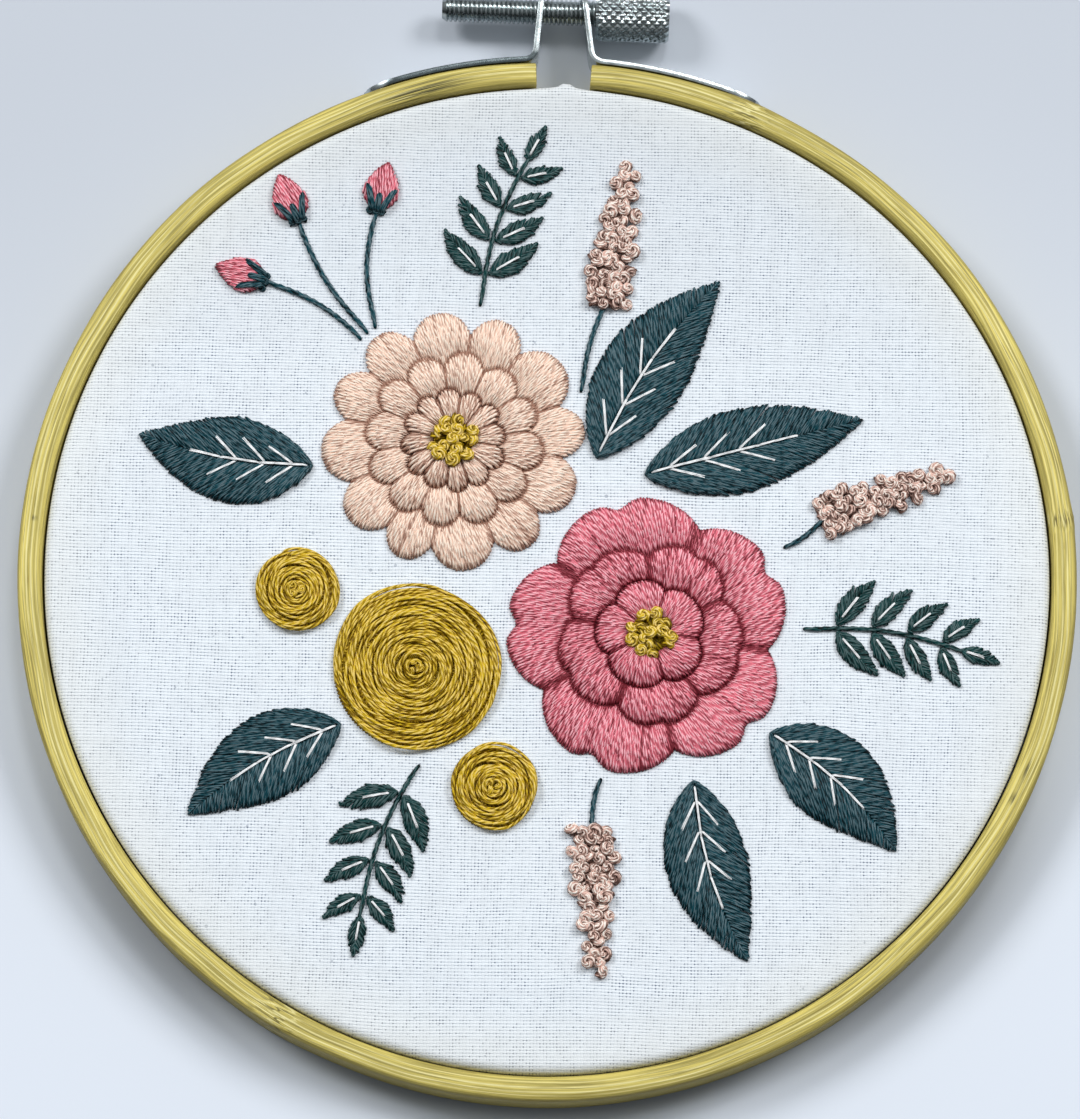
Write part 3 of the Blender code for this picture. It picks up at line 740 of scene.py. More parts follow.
class HOOP_OT_cloth(bpy.types.Operator):
    """One sheet of cotton, stretched over the inner ring and down between the two"""

    bl_idname = "hoop.cloth"
    bl_label = "Stretched cotton"

    def execute(self, context):
        flat_r, bend_z = CLOTH_R - CLOTH_BEND, CLOTH_TOP - CLOTH_BEND
        face = [(flat_r * i / 36, CLOTH_TOP) for i in range(37)]
        over = quarter((flat_r, bend_z), CLOTH_BEND, 0, 6)[::-1][1:]
        skirt = [(CLOTH_R, bend_z - (bend_z - CLOTH_HEM) * i / 8) for i in range(1, 9)]
        section = [(r, 0, z) for r, z in face + over + skirt]
        cloth = spun("stretched_cotton", section, 480)
        self.pucker(cloth, context.scene.hoop_cloth.pucker, flat_r)
        if cloth.data.polygons[0].normal.z < 0:
            cloth.data.flip_normals()
        apply(cloth, "SOLIDIFY", thickness=CLOTH_THICK * MM, offset=-1.0)
        dress(cloth, "cotton", ["cloth"], sharp=0)
        return {"FINISHED"}

    def pucker(self, cloth, depth, flat_r):
        """The swell into the ring's split, and faint waves where the cloth is pulled."""
        at = points_of(cloth)
        out = np.hypot(at[:, 0], at[:, 1]) + 1e-9
        turn = np.arctan2(at[:, 0], at[:, 1])
        edge = np.clip((out - (CLOTH_R - 3)) / 3, 0, 1)
        swell = 0.7 * gauss(turn - 0.006, 0.013) + 0.3 * gauss(turn, 0.05)
        rise = depth * 1.2 * swell * edge
        at[:, :2] *= ((out + rise) / out)[:, None]
        pull = 0.05 * np.sin(19 * turn + 1.3) * np.sin(31 * turn) * gauss(out - CLOTH_R + 5, 5)
        at[:, 2] += np.where(out < flat_r, pull - 0.03, 0)
        reshape(cloth, at)


def ear_line(foot, at_screw):
    """Middle line of a strap: along the ring, round a tight bend and up past the screw."""
    side = 1 if foot > 0 else -1
    corner = Vector((foot, sqrt(STRAP_R**2 - foot**2)))
    top = Vector((at_screw, SCREW_Y))
    up = (top - corner).normalized()
    first = abs(foot) + EAR_BEND
    line = []
    for i in range(37):
        share = i / 36
        turn = (STRAP_ARC * (1 - share) + first * share) / STRAP_R
        tip = min(1, (STRAP_ARC - first) * share / (STRAP_WIDTH / 2) / 1.4)
        wide = sqrt(max(0, 1 - (1 - tip) ** 2)) * 0.92 + 0.08
        line.append((Vector((side * sin(turn), cos(turn))) * STRAP_R, wide))
    before, after = line[-1][0], corner + up * EAR_BEND
    for i in range(1, 9):
        t = i / 8
        line.append((before * (1 - t) ** 2 + corner * 2 * t * (1 - t) + after * t * t, 1))
    for i in range(6):
        line.append((after.lerp(top, (i + 1) / 6), 1))
    for i in range(1, 8):
        share = sin(pi / 2 * i / 7.4)
        line.append((top + up * STRAP_WIDTH / 2 * share, sqrt(1 - share**2)))
    return line


class HOOP_OT_ears(bpy.types.Operator):
    """The two steel straps with their ears"""

    bl_idname = "hoop.ears"
    bl_label = "Steel ears"

    def execute(self, context):
        for name, (foot, at_screw) in EARS.items():
            line = ear_line(foot, at_screw)
            heights = STRAP_WIDTH / 2 * np.linspace(-1, 1, 9)
            points = [(at.x, at.y, SCREW_Z + wide * high) for at, wide in line for high in heights]
            n = len(heights)
            faces = [
                (k, k + 1, k + n + 1, k + n)
                for row in range(len(line) - 1)
                for k in range(row * n, row * n + n - 1)
            ]
            ear = object_of(name + "_strap", points, [], faces)
            apply(ear, "SOLIDIFY", thickness=STRAP_THICK * MM, offset=0.0)
            self.drill(ear, at_screw)
            apply(
                ear, "BEVEL", width=STRAP_ROUND * MM, segments=2, limit_method="ANGLE",
                angle_limit=radians(50),
            )
            dress(ear, "worn_zinc" if foot < 0 else "zinc", [name])
        return {"FINISHED"}

    def drill(self, ear, at_screw):
        bpy.ops.object.select_all(action="DESELECT")
        bpy.ops.mesh.primitive_cylinder_add(
            vertices=48, radius=EAR_HOLE_R * MM, depth=6 * MM, rotation=(0, pi / 2, 0),
            location=tuple(in_frame([(at_screw, SCREW_Y, SCREW_Z)])[0]),
        )
        cutter = bpy.context.object
        apply(ear, "BOOLEAN", object=cutter, operation="DIFFERENCE")
        bpy.data.objects.remove(cutter, do_unlink=True)


def turned(name, profile, steps):
    """A profile of places along the screw and radii, spun about the screw's axis."""
    section = [(x, SCREW_Y + r, SCREW_Z) for x, r in profile]
    return spun(name, section, steps, axis=(1, 0, 0), centre=(0, SCREW_Y, SCREW_Z))


def carve(piece, cut):
    """Lowers a turned surface: cut says how far at places along, turns and radii."""
    at = points_of(piece)
    off = at[:, 1:] - (SCREW_Y, SCREW_Z)
    turn, out = np.arctan2(off[:, 1], off[:, 0]), np.hypot(off[:, 0], off[:, 1])
    scale = np.where(out > 1, (out - cut(at[:, 0], turn, out)) / np.maximum(out, 1e-9), 1)
    at[:, 1:] = (SCREW_Y, SCREW_Z) + off * scale[:, None]
    reshape(piece, at)


def screw_groove(x, turn, out):
    phase = (x / THREAD_PITCH - turn / tau) % 1
    groove = THREAD_DEPTH * (1 - np.clip(np.abs(phase - 0.5) * 4.2 - 0.2, 0, 1))
    return np.maximum(groove, 0.5 * np.clip(1 - (x - SCREW_X0) / 0.8, 0, 1))


def knurl(x, turn, out):
    """Two crossing sets of slanted cuts."""
    round_it, along = turn / tau * KNURLS, x / KNURL_LEAD
    one, two = [np.abs((way % 1) - 0.5) * 2 for way in (round_it + along, round_it - along)]
    cut = HEAD_CUT * np.clip(np.maximum(one, two) - 0.35, 0, 1)
    return np.where(out > HEAD_R - 0.1, cut, 0)


class HOOP_OT_thumbscrew(bpy.types.Operator):
    """The threaded rod and its diamond-knurled head"""

    bl_idname = "hoop.thumbscrew"
    bl_label = "Thumbscrew"

    def execute(self, context):
        profile = [(x, THREAD_R) for x in np.linspace(SCREW_X0, HEAD_X0, 341)]
        rod = turned("threaded_rod", [(SCREW_X0, 0), *profile, (HEAD_X0 + 0.2, 0)], 28)
        carve(rod, screw_groove)
        # The rod's plate is a darker copy of the head's: painted shade for the dark surroundings it
        # reflects
        dress(rod, "rod_zinc", ["thumbscrew"], body="screw")
        face = [(HEAD_X0, r) for r in (0, THREAD_R * 0.9, HEAD_R - 1.2, HEAD_R - HEAD_EASE)]
        flank = [(x, HEAD_R) for x in np.linspace(HEAD_X0 + HEAD_EASE, SCREW_X1 - HEAD_EASE, 100)]
        end = [(SCREW_X1, r) for r in (HEAD_R - HEAD_EASE, HEAD_R - 1.2, 0)]
        head = turned("knurled_head", face + flank + end, 216)
        carve(head, knurl)
        dress(head, "zinc", [], body="screw")
        return {"FINISHED"}


class Skein:
    """Thread laid strand by strand, then wound into one mesh of closed tubes.

    rng gives the hand's unevenness.
    """

    def __init__(self, rng):
        self.rng = rng
        self.points, self.faces, self.wraps, self.shades = [], [], [], []
        self.count = 0

    def tones(self, count, spread=0.22, middle=0.5):
        """How light each of so many stitches is."""
        return np.clip(self.rng.normal(middle, spread, count), 0, 1)

    def lay(self, paths, widths, tones):
        """Adds paths, strands x points x 3 in mm, with widths to match and a tone each."""
        strands, steps, _ = paths.shape
        widths = np.broadcast_to(widths, (strands, steps))
        run = np.gradient(paths, axis=1)
        run /= np.linalg.norm(run, axis=2, keepdims=True)
        whole = paths[:, -1:, :2] - paths[:, :1, :2]
        whole = whole / (np.linalg.norm(whole, axis=2, keepdims=True) + 1e-6)
        level = run[..., :2] + 0.05 * whole + (1e-5, 0)
        level /= np.linalg.norm(level, axis=2, keepdims=True)
        side = np.stack([-level[..., 1], level[..., 0], np.zeros((strands, steps))], axis=2)
        up = np.cross(run, side)
        turn = tau * np.arange(TUBE_SIDES) / TUBE_SIDES
        ring = np.cos(turn)[:, None] * side[:, :, None]
        ring = ring + TUBE_HEIGHT * np.sin(turn)[:, None] * up[:, :, None]
        at = paths[:, :, None] + widths[:, :, None, None] / 2 * ring
        self.points.append(at.reshape(-1, 3))
        tones = np.broadcast_to(np.reshape(tones, (strands, -1)), (strands, steps))
        self.shades.append(np.repeat(tones.ravel(), TUBE_SIDES))
        self.join(paths, strands, steps)

    def join(self, paths, strands, steps):
        """Faces between the rings and over both ends, with their wound coordinates."""
        n = TUBE_SIDES
        first = self.count + np.arange(strands * steps).reshape(strands, steps, 1) * n
        k = np.arange(n)
        after = (k + 1) % n
        low, high = first[:, :-1], first[:, 1:]
        sides = np.stack([low + k, low + after, high + after, high + k], axis=3)
        self.faces.append(sides.reshape(-1, 4))
        gaps = np.linalg.norm(np.diff(paths, axis=1), axis=2)
        begin = (self.count * 0.37 + np.arange(strands) * 7.31) % 41
        reach = np.concatenate([np.zeros((strands, 1)), np.cumsum(gaps, axis=1)], axis=1)
        reach = reach + begin[:, None]
        corners = (k / n, reach[:, :-1, None], (k + 1) / n, reach[:, 1:, None])
        a, near, b, far = [np.broadcast_to(value, (strands, steps - 1, n)) for value in corners]
        self.wraps.append(np.stack([a, near, b, near, b, far, a, far], axis=3).reshape(-1, 2))
        fans = np.array([[0, 2 * i + 1, 2 * i + 2, 2 * i + 3] for i in range(n // 2 - 1)])
        for ends, order in ((first[:, 0], fans[:, ::-1]), (first[:, -1], fans)):
            caps = (ends[:, :, None] + order[None]).reshape(-1, 4)
            self.faces.append(caps)
            self.wraps.append(np.zeros((caps.size, 2)))
        self.count += strands * steps * n

    def stitch(self, start, end, heights, widths, tones, ends=(1, 1)):
        """Straight stitches, each coming up through the cloth and going down, with painted shade
        this deep at their ends.
        """
        xy = start[:, None] * (1 - SHARES)[:, None] + end[:, None] * SHARES[:, None]
        heights = np.broadcast_to(heights, xy.shape[:2])
        z = CLOTH_TOP + np.where(LIFTS < 0, LIFTS, LIFTS * heights)
        tones = np.reshape(tones, (len(xy), -1)) + PAINTED_HOLE_SHADE * np.where(SHARES < 0.5, *ends)
        self.lay(np.concatenate([xy, z[..., None]], axis=2), widths * TAPERS, tones)

    def sew(self, name, thread, slot, *nodes):
        """The motif's mesh in its thread, and the solids that it stands for. slot is not used."""
        faces = np.concatenate(self.faces).tolist()
        made = object_of(name, np.concatenate(self.points), [], faces)
        wound = made.data.uv_layers.new(name="wound")
        wound.data.foreach_set("uv", np.concatenate(self.wraps).astype(np.float32).ravel())
        tone = made.data.attributes.new("tone", "FLOAT", "POINT")
        tone.data.foreach_set("value", np.concatenate(self.shades).astype(np.float32))
        dress(made, thread + "_thread", nodes, sharp=0)


def seed_for(name):
    """Random numbers that stay the same for a piece from run to run."""
    return np.random.default_rng([bpy.context.scene.hoop_thread.seed, *name.encode()])


class Route:
    """A gently bowed line across the cloth."""

    def __init__(self, base, tip, bend):
        self.base = np.array(base, float)
        self.run = np.array(tip, float) - self.base
        self.left = np.array([-self.run[1], self.run[0]]) * bend
        self.length = float(np.hypot(*self.run))

    def at(self, share):
        share = np.asarray(share, float)[..., None]
        return self.base + self.run * share + self.left * np.sin(pi * share)

    def ahead(self, share):
        """Unit vectors along it."""
        share = np.asarray(share, float)[..., None]
        along = self.run + self.left * pi * np.cos(pi * share)
        return along / np.linalg.norm(along, axis=-1, keepdims=True)

    def normal(self, share):
        """Unit vectors to its left."""
        ahead = self.ahead(share)
        return np.stack([-ahead[..., 1], ahead[..., 0]], axis=-1)


def ray(angle):
    """Unit vectors across the cloth."""
    return np.stack([np.cos(angle), np.sin(angle)], axis=-1)


def spokes(skein, centre, count, bounds, height, widths, tone):
    """Stitches out from the middle of a round motif, darkened with painted shade, so that no cloth
    shows in it.
    """
    way = ray(np.linspace(0, tau, count, endpoint=False))
    start, end = [centre + way * out for out in bounds]
    skein.stitch(start, end, height, widths, skein.tones(count, 0.1, tone))


def puff(share):
    """Height of a padded shape across its width: full in the middle, low at both ends."""
    return np.sqrt(np.clip(1 - (2 * share - 1) ** 4, 0, 1))


class Whorl:
    """One round of petals: the bounds between them and how far out each reaches."""

    def __init__(self, rng, count, turn, reach, blunt, notch, sway):
        part = tau / count
        self.bounds = turn + part * (np.arange(count + 1) - 0.5)
        self.bounds[:-1] += rng.normal(0, sway * part, count)
        self.bounds[-1] = self.bounds[0] + tau
        self.half = np.diff(self.bounds) / 2
        self.turns = self.bounds[:-1] + self.half
        self.reach = reach * rng.uniform(0.965, 1.005, count)
        self.blunt, self.notch = blunt, notch

    def petal(self, k, s):
        """How far out petal k reaches, s running from -1 to 1 across it."""
        round_off = PETAL_DROOP * np.abs(s) ** self.blunt + self.notch * gauss(s, 0.14)
        return self.reach[k] * (1 - round_off)

    def edge(self, angle):
        """How far out the whole round reaches in some direction."""
        along = (angle - self.bounds[0]) % tau + self.bounds[0]
        k = np.searchsorted(self.bounds, along, side="right") - 1
        k = np.clip(k, 0, len(self.half) - 1)
        return self.petal(k, (along - self.turns[k]) / self.half[k])


def fan(skein, centre, whorl, k, inner, tier, rise, tone):
    """Stitches that fan across petal k, from its edge in to the outline of the next round.

    rise(share, s) is the height of the petal's surface, share running out along its reach.
    """
    rng = skein.rng
    outer, stop_at, sink = tier
    turn, half = whorl.turns[k], whorl.half[k]
    middle = inner(turn) + (whorl.reach[k] - inner(turn)) * (outer * 0.65 + stop_at * 0.35)
    count = max(5, int(2 * half * middle / bpy.context.scene.hoop_thread.fill))
    s = np.linspace(-0.985, 0.985, count) + rng.normal(0, 0.15 / count, count)
    angle = turn + half * s
    near, far = inner(angle), whorl.petal(k, s)
    go = outer + rng.normal(0, 0.006, count) - rng.uniform(0.0, 0.30, count) * (outer < 1)
    stop = stop_at + rng.uniform(-0.20, 0.20, count) * (stop_at > 0)
    first, last = near + (far - near) * go, near + (far - near) * stop
    way = ray(angle)
    start, end = centre + first[:, None] * way, centre + last[:, None] * way
    shares = go[:, None] * (1 - SHARES) + stop[:, None] * SHARES
    radii = first[:, None] * (1 - SHARES) + last[:, None] * SHARES
    widths = np.clip(2.5 * half * radii / count, 0.24, 0.52)
    heights = rise(np.clip(shares, 0, 1), s[:, None]) - sink
    # Painted shade in the creases between petals, darker towards each petal's sides
    tones = skein.tones(count, 0.17, tone) - 0.8 * np.clip((np.abs(s) - 0.86) / 0.14, 0, 1)
    ends = (1.0 if outer == 1 else 0.2, 1.0 if stop_at == 0 else 0.2)
    skein.stitch(start, end, heights, widths, tones, ends)


def seam(skein, centre, whorl):
    """Stitches low under the crease round a whorl, darkened with painted shade, so that no cloth
    shows in it.
    """
    angle = np.arange(0, tau, 0.45 / whorl.reach.mean())
    way, edge = ray(angle), whorl.edge(angle)[:, None]
    tones = skein.tones(len(angle), 0.05, 0) - 0.3
    skein.stitch(centre + way * (edge + 0.8), centre + way * (edge - 0.8), 0.35, 0.5, tones, (0, 0))


def flower(name, thread, centre, radius, petals, turn, blunt, sway, crisp, rounds):
    """Fills rounds of petals from the outermost in, each round standing higher."""
    skein = Skein(seed_for(name))
    whorls = [
        Whorl(skein.rng, petals, turn + tau / petals * shift, radius * reach, blunt, notch, sway)
        for shift, reach, notch, *_ in rounds
    ]
    edges = [whorl.edge for whorl in whorls[1:]] + [lambda angle: HEART_R + 0 * angle]
    for whorl, inner, (*_, foot, height, tone) in zip(whorls, edges, rounds):

        def rise(share, s):
            crease = np.sqrt(np.clip(1 - np.abs(s) ** crisp, 0, 1))
            return foot + height * puff(share * 0.9 + 0.05) * crease

        for k in range(petals):
            for tier in TIERS:
                own_tone = tone + skein.rng.normal(0, 0.05)
                fan(skein, centre, whorl, k, inner, tier, rise, own_tone)
        if whorl is not whorls[0]:
            seam(skein, centre, whorl)
    skein.sew(name + "_petals", thread, thread, name)


class HOOP_OT_rose(bpy.types.Operator):
    """The broad-petalled rose in long and short stitch"""

    bl_idname = "hoop.rose"
    bl_label = "Rose"

    def execute(self, context):
        flower("rose", "rose", **ROSE)
        return {"FINISHED"}


class HOOP_OT_daisy(bpy.types.Operator):
    """The daisy's rounds of petals in satin stitch"""

    bl_idname = "hoop.daisy"
    bl_label = "Daisy"

    def execute(self, context):
        flower("daisy", "peach", **DAISY)
        return {"FINISHED"}


class HOOP_OT_wheels(bpy.types.Operator):
    """Woven wheel roses: three strands together over and under seven spokes"""

    bl_idname = "hoop.wheels"
    bl_label = "Woven wheels"

    def execute(self, context):
        for name, (centre, radius) in WHEELS.items():
            skein = Skein(seed_for(name))
            count = int(tau * radius / SPOKE_PITCH)
            widths = np.clip(SHARES * radius * tau / count * 1.2, 0.15, 0.8)
            spokes(skein, centre, count, (0.2, radius - 0.95), 0.42, widths, 0.1)
            for strand in (-1, 0, 1):
                self.weave(skein, centre, radius, strand, context.scene.hoop_thread.wheel)
            hub = centre + 0.75 * ray(tau * np.arange(3) / 3)
            knots(skein, hub, np.full(3, 0.85), np.full(3, 0.72))
            skein.sew(name + "_weaving", "mustard", "mustard", name)
        return {"FINISHED"}

    def weave(self, skein, centre, radius, strand, width):
        """One strand on its way out from the hub, over and under the spokes."""
        advance = width * 2.45
        turns = (radius - advance / 2) / advance
        length = pi * radius**2 / advance
        count = int(length / 0.75)
        share = np.linspace(0.004, 1, count)

        def wander(run, values):
            """Random values a few millimetres apart, joined along the strand."""
            return np.interp(share * length / run, np.arange(count), values)

        angle = tau * turns * np.sqrt(share) + 0.08 * strand
        out = advance * angle / tau + strand * width * 0.80
        drift = wander(6, skein.rng.normal(0, 0.24, count))
        float_up = wander(5, skein.rng.normal(0, 0.15, count))
        over = np.cos(3.5 * angle + 0.25 * strand)
        bowl = 0.42 + 0.85 * np.sqrt(np.clip(1 - (out / radius) ** 4, 0, 1))
        up = bowl + 0.26 * over * np.clip(out / 3, 0.2, 1) + float_up - 0.10 * abs(strand)
        tuck = np.clip((angle - angle[-1]) / 1.6 + 1, 0, 1) ** 2 * advance * 0.8
        out = np.abs(out + drift + 0.05 * over - tuck)
        at = centre + out[:, None] * ray(angle)
        at = np.concatenate([at, (CLOTH_TOP + up)[:, None]], axis=1)
        at[-1, 2] = CLOTH_TOP + TUCK
        # Painted shade where the strand dips under a spoke
        tone = wander(9, skein.tones(count)) - 0.25 * (over < -0.6)
        skein.lay(at[None], np.full((1, count), width * 1.15), tone)


def leaf_half(width, share):
    return width / 2 * np.sin(pi * np.clip(share, 0, 1) ** 0.85) ** 0.9


def leaf_fill(skein, route, width, slant, base=0.34, height=0.50, tip=0.12):
    """Fishbone stitches from the rib of a leaf to both its edges, and one along its tip."""
    rng, pitch = skein.rng, bpy.context.scene.hoop_thread.fill
    count = int(route.length / (pitch * 0.80))
    for side in (1, -1):
        b = np.linspace(0.015, 0.985, count) + rng.normal(0, 0.1 / count, count)
        half = leaf_half(width, b)
        a = np.clip(b - half / tan(slant) / route.length, 0.0, 1)
        start = route.at(a) - route.normal(a) * side * 0.16
        end = route.at(b) + route.normal(b) * side * (half + rng.normal(0, 0.13, count))[:, None]
        arch = puff(SHARES * 0.9 + 0.05)[None] * np.clip(half / 2.2, 0.35, 1)[:, None]
        heights = base + height * arch + rng.normal(0, 0.02, (count, 1))
        skein.stitch(start, end, heights, pitch * 1.12, skein.tones(count, 0.17))
    skein.stitch(route.at([1 - tip]), route.at([1.0]), base + 0.2, pitch * 1.2, skein.tones(1))


def veins(skein, lines, height, width):
    """Long straight stitches of two strands laid over a leaf."""
    start, end = np.array(lines).transpose(1, 0, 2)
    way = (end - start) / np.linalg.norm(end - start, axis=1, keepdims=True)
    beside = np.stack([-way[:, 1], way[:, 0]], axis=1) * width * 0.5
    for side in (-1, 1):
        last = end + beside * (side * skein.rng.uniform(0.4, 1.2, (len(lines), 1)))
        tones = skein.tones(len(lines), 0.1, 0.9)
        skein.stitch(start + beside * side * 0.6, last, height, width, tones, (0.3, 0.3))


class HOOP_OT_leaves(bpy.types.Operator):
    """Six leaves in fishbone stitch with white veins"""

    bl_idname = "hoop.leaves"
    bl_label = "Leaves"

    def execute(self, context):
        lines = []
        white = Skein(seed_for("veins"))
        for name, (base, tip, width, bend) in LEAVES.items():
            route = Route(base, tip, bend)
            skein = Skein(seed_for(name))
            leaf_fill(skein, route, width, radians(36))
            skein.sew(name + "_fishbone", "teal", "teal", name)
            stops = (0.03, 0.30, 0.52, 0.70)
            lines += [(route.at(a - 0.012), route.at(b + 0.012)) for a, b in zip(stops, stops[1:])]
            for a in (0.10, 0.26, 0.42):
                for side in (1, -1):
                    b = a + 0.17
                    half = leaf_half(width, b) * white.rng.uniform(0.48, 0.60)
                    lines.append((route.at(a), route.at(b) + route.normal(b) * side * half))
        veins(white, lines, 1.02, 0.22)
        white.sew("leaf_veins", "white", "teal")
        return {"FINISHED"}


def stem_stitch(skein, route, width, length=2.8, height=0.42):
    """Overlapping slanted stitches that make a fine rope along a line."""
    step = length / 2 / route.length
    a = np.arange(0.0, 1.0 - step, step)
    b = np.minimum(a + 2 * step, 1.0)
    start = route.at(a) + route.normal(a) * width * 0.3
    end = route.at(b) - route.normal(b) * width * 0.3
    skein.stitch(start, end, height, width, skein.tones(len(a)))


class HOOP_OT_ferns(bpy.types.Operator):
    """Dark sprigs: a stitched stem, leaflets in pairs and one white stitch on each"""

    bl_idname = "hoop.ferns"
    bl_label = "Sprigs"

    def execute(self, context):
        lines = []
        for name, (base, tip, bend) in FERNS.items():
            skein = Skein(seed_for(name))
            route = Route(base, tip, bend)
            stem_stitch(skein, route, 0.55)
            for leaflet in self.leaflets(route):
                wide = LEAFLET_WIDTH * leaflet.length / LEAFLET_LENGTH
                leaf_fill(skein, leaflet, wide, radians(26), 0.28, 0.42, 0.25)
                lines.append((leaflet.at(0.10), leaflet.at(0.62)))
            skein.sew(name + "_satin", "green", "green", name)
        white = Skein(seed_for("fern veins"))
        veins(white, lines, 0.86, 0.21)
        white.sew("fern_veins", "white", "green")
        return {"FINISHED"}

    def leaflets(self, route):
        for share in LEAFLET_PLACES:
            for side in (1, -1):
                ahead = route.ahead(share)
                heading = atan2(ahead[1], ahead[0]) + side * LEAFLET_ANGLE
                length = LEAFLET_LENGTH * (1.06 - 0.4 * share)
                run = np.array([cos(heading), sin(heading)])
                start = route.at(share) + route.normal(share) * side * 0.4
                yield Route(start + run * 0.3, start + run * length, 0.04 * side)
        reach = route.ahead(1.0) * LEAFLET_LENGTH * 0.7
        yield Route(route.at(0.99), route.at(0.97) + reach, 0.0)


def knot_path(spread):
    """One strand of a French knot of two wraps about the origin, its tail tucked over the top.

    A knot's two strands lie side by side: spread is how far out this one lies.
    """
    share = np.linspace(0, 1, 17)
    turn = tau * KNOT_TURNS * share
    out = KNOT_R * (1 - 0.14 * share) + spread * (1 - 0.3 * share)
    high = 0.26 + 0.46 * share - spread * 0.5
    coil = np.stack([out * np.cos(turn), out * np.sin(turn), high], axis=1)
    start = np.array([[0.6, -0.3, -0.35], [0.75, -0.14, 0.0]]) + (spread, 0, 0)
    x, y = coil[-1, :2]
    over = [x * 0.5 - y * 0.4 + spread, y * 0.5 + x * 0.4, 0.86]
    tail = np.array([over, [spread, 0.0, 0.60], [-0.1, 0.0, 0.0]])
    return np.concatenate([start, coil, tail])


def knots(skein, centres, heights, sizes):
    """French knots at their places, each turned and leaning its own way."""
    rng, thread = skein.rng, bpy.context.scene.hoop_thread.knot
    for (x, y), height, size in zip(centres, heights, sizes):
        tip, tilt = [Matrix.Rotation(rng.normal(0, 0.42), 3, axis) for axis in "XY"]
        spin = Matrix.Rotation(rng.uniform(0, tau), 3, "Z")
        stretch = (size * rng.uniform(0.9, 1.12), size * rng.uniform(0.9, 1.05), size)
        tone, thick = skein.tones(1, 0.14), rng.uniform(0.94, 1.06)
        for spread in (-thread * 0.22, thread * 0.22):
            path = (knot_path(spread) * stretch) @ np.array(tip @ tilt @ spin).T
            path = path + (x, y, CLOTH_TOP + height)
            # Painted shade: the inner strand of each knot darker than the outer
            tones = tone + KNOT_SHADES + (0.08 if spread > 0 else -0.12)
            skein.lay(path[None], thread * 0.62 * size * thick, tones)


class HOOP_OT_eyes(bpy.types.Operator):
    """The flowers' eyes, crowded with French knots"""

    bl_idname = "hoop.eyes"
    bl_label = "Knotted eyes"

    def execute(self, context):
        for name, centre in (("rose_eye", ROSE["centre"]), ("daisy_eye", DAISY["centre"])):
            skein = Skein(seed_for(name))
            rng = skein.rng
            spokes(skein, centre, EYE_SPOKES, (0.3, EYE_R - 0.4), 1.15, 0.6, -0.1)
            for count, out, low in ((9, EYE_R - 1.15, 1.5), (5, EYE_R * 0.38, 1.75), (1, 0.0, 2.0)):
                turn = tau * np.arange(count) / count + rng.normal(0, 0.14, count) + count
                at = centre + out * ray(turn)
                at = at + rng.normal(0, 0.12, at.shape)
                knots(skein, at, low + rng.normal(0, 0.10, count), rng.uniform(1.0, 1.2, count))
            skein.sew(name + "_knots", "gold", "mustard", name)
        return {"FINISHED"}


class HOOP_OT_spires(bpy.types.Operator):
    """Spires of French knots on stem-stitched stalks"""

    bl_idname = "hoop.spires"
    bl_label = "Knotted spires"

    def execute(self, context):
        for name, (stem_foot, knots_foot, tip, bend) in SPIRES.items():
            skein = Skein(seed_for(name))
            rng = skein.rng
            route = Route(knots_foot, tip, 0.0)
            rows = self.places(rng, route)
            at = [place for row in rows for place in row]
            self.ground(skein, route, rows)
            knots(skein, at, rng.uniform(0.0, 0.55, len(at)), rng.uniform(0.92, 1.20, len(at)))
            skein.sew(name + "_knots", "blush", "peach", name)
            stalk = Skein(rng)
            stem_stitch(stalk, Route(stem_foot, knots_foot, bend), STEM_WIDTH)
            stalk.sew(name + "_stalk", "teal", "teal", name + "_stem")
        return {"FINISHED"}

    def places(self, rng, route):
        """Close-packed places for the knots inside the tapering outline, row by row."""
        rows = []
        last = int(route.length / (KNOT_PITCH * 0.82))
        for row in range(last + 1):
            share = row / last
            wide = SPIRE_WIDTH * (1 - 0.66 * share**1.5) - 1.9
            across = max(1, round(wide / KNOT_PITCH) + 1)
            shift = 0.25 if row % 2 else -0.25
            offsets = (np.arange(across) - (across - 1) / 2 + shift) * KNOT_PITCH
            rows.append([
                route.at(share) + route.normal(share) * offset + rng.normal(0, 0.18, 2)
                for offset in offsets
            ])
        return rows

    def ground(self, skein, route, rows):
        """Stitches low across each row, darkened with painted shade, so that no cloth shows between
        the knots.
        """
        side = route.normal(0.5) * 0.3
        shifts = [route.run / route.length * far for far in (-0.45, 0.0, 0.45)]
        starts = np.array([row[0] + shift - side for row in rows for shift in shifts])
        ends = np.array([row[-1] + shift + side for row in rows for shift in shifts])
        skein.stitch(starts, ends, 0.30, 0.56, skein.tones(len(starts), 0.05, 0.0) - 0.2, (0, 0))


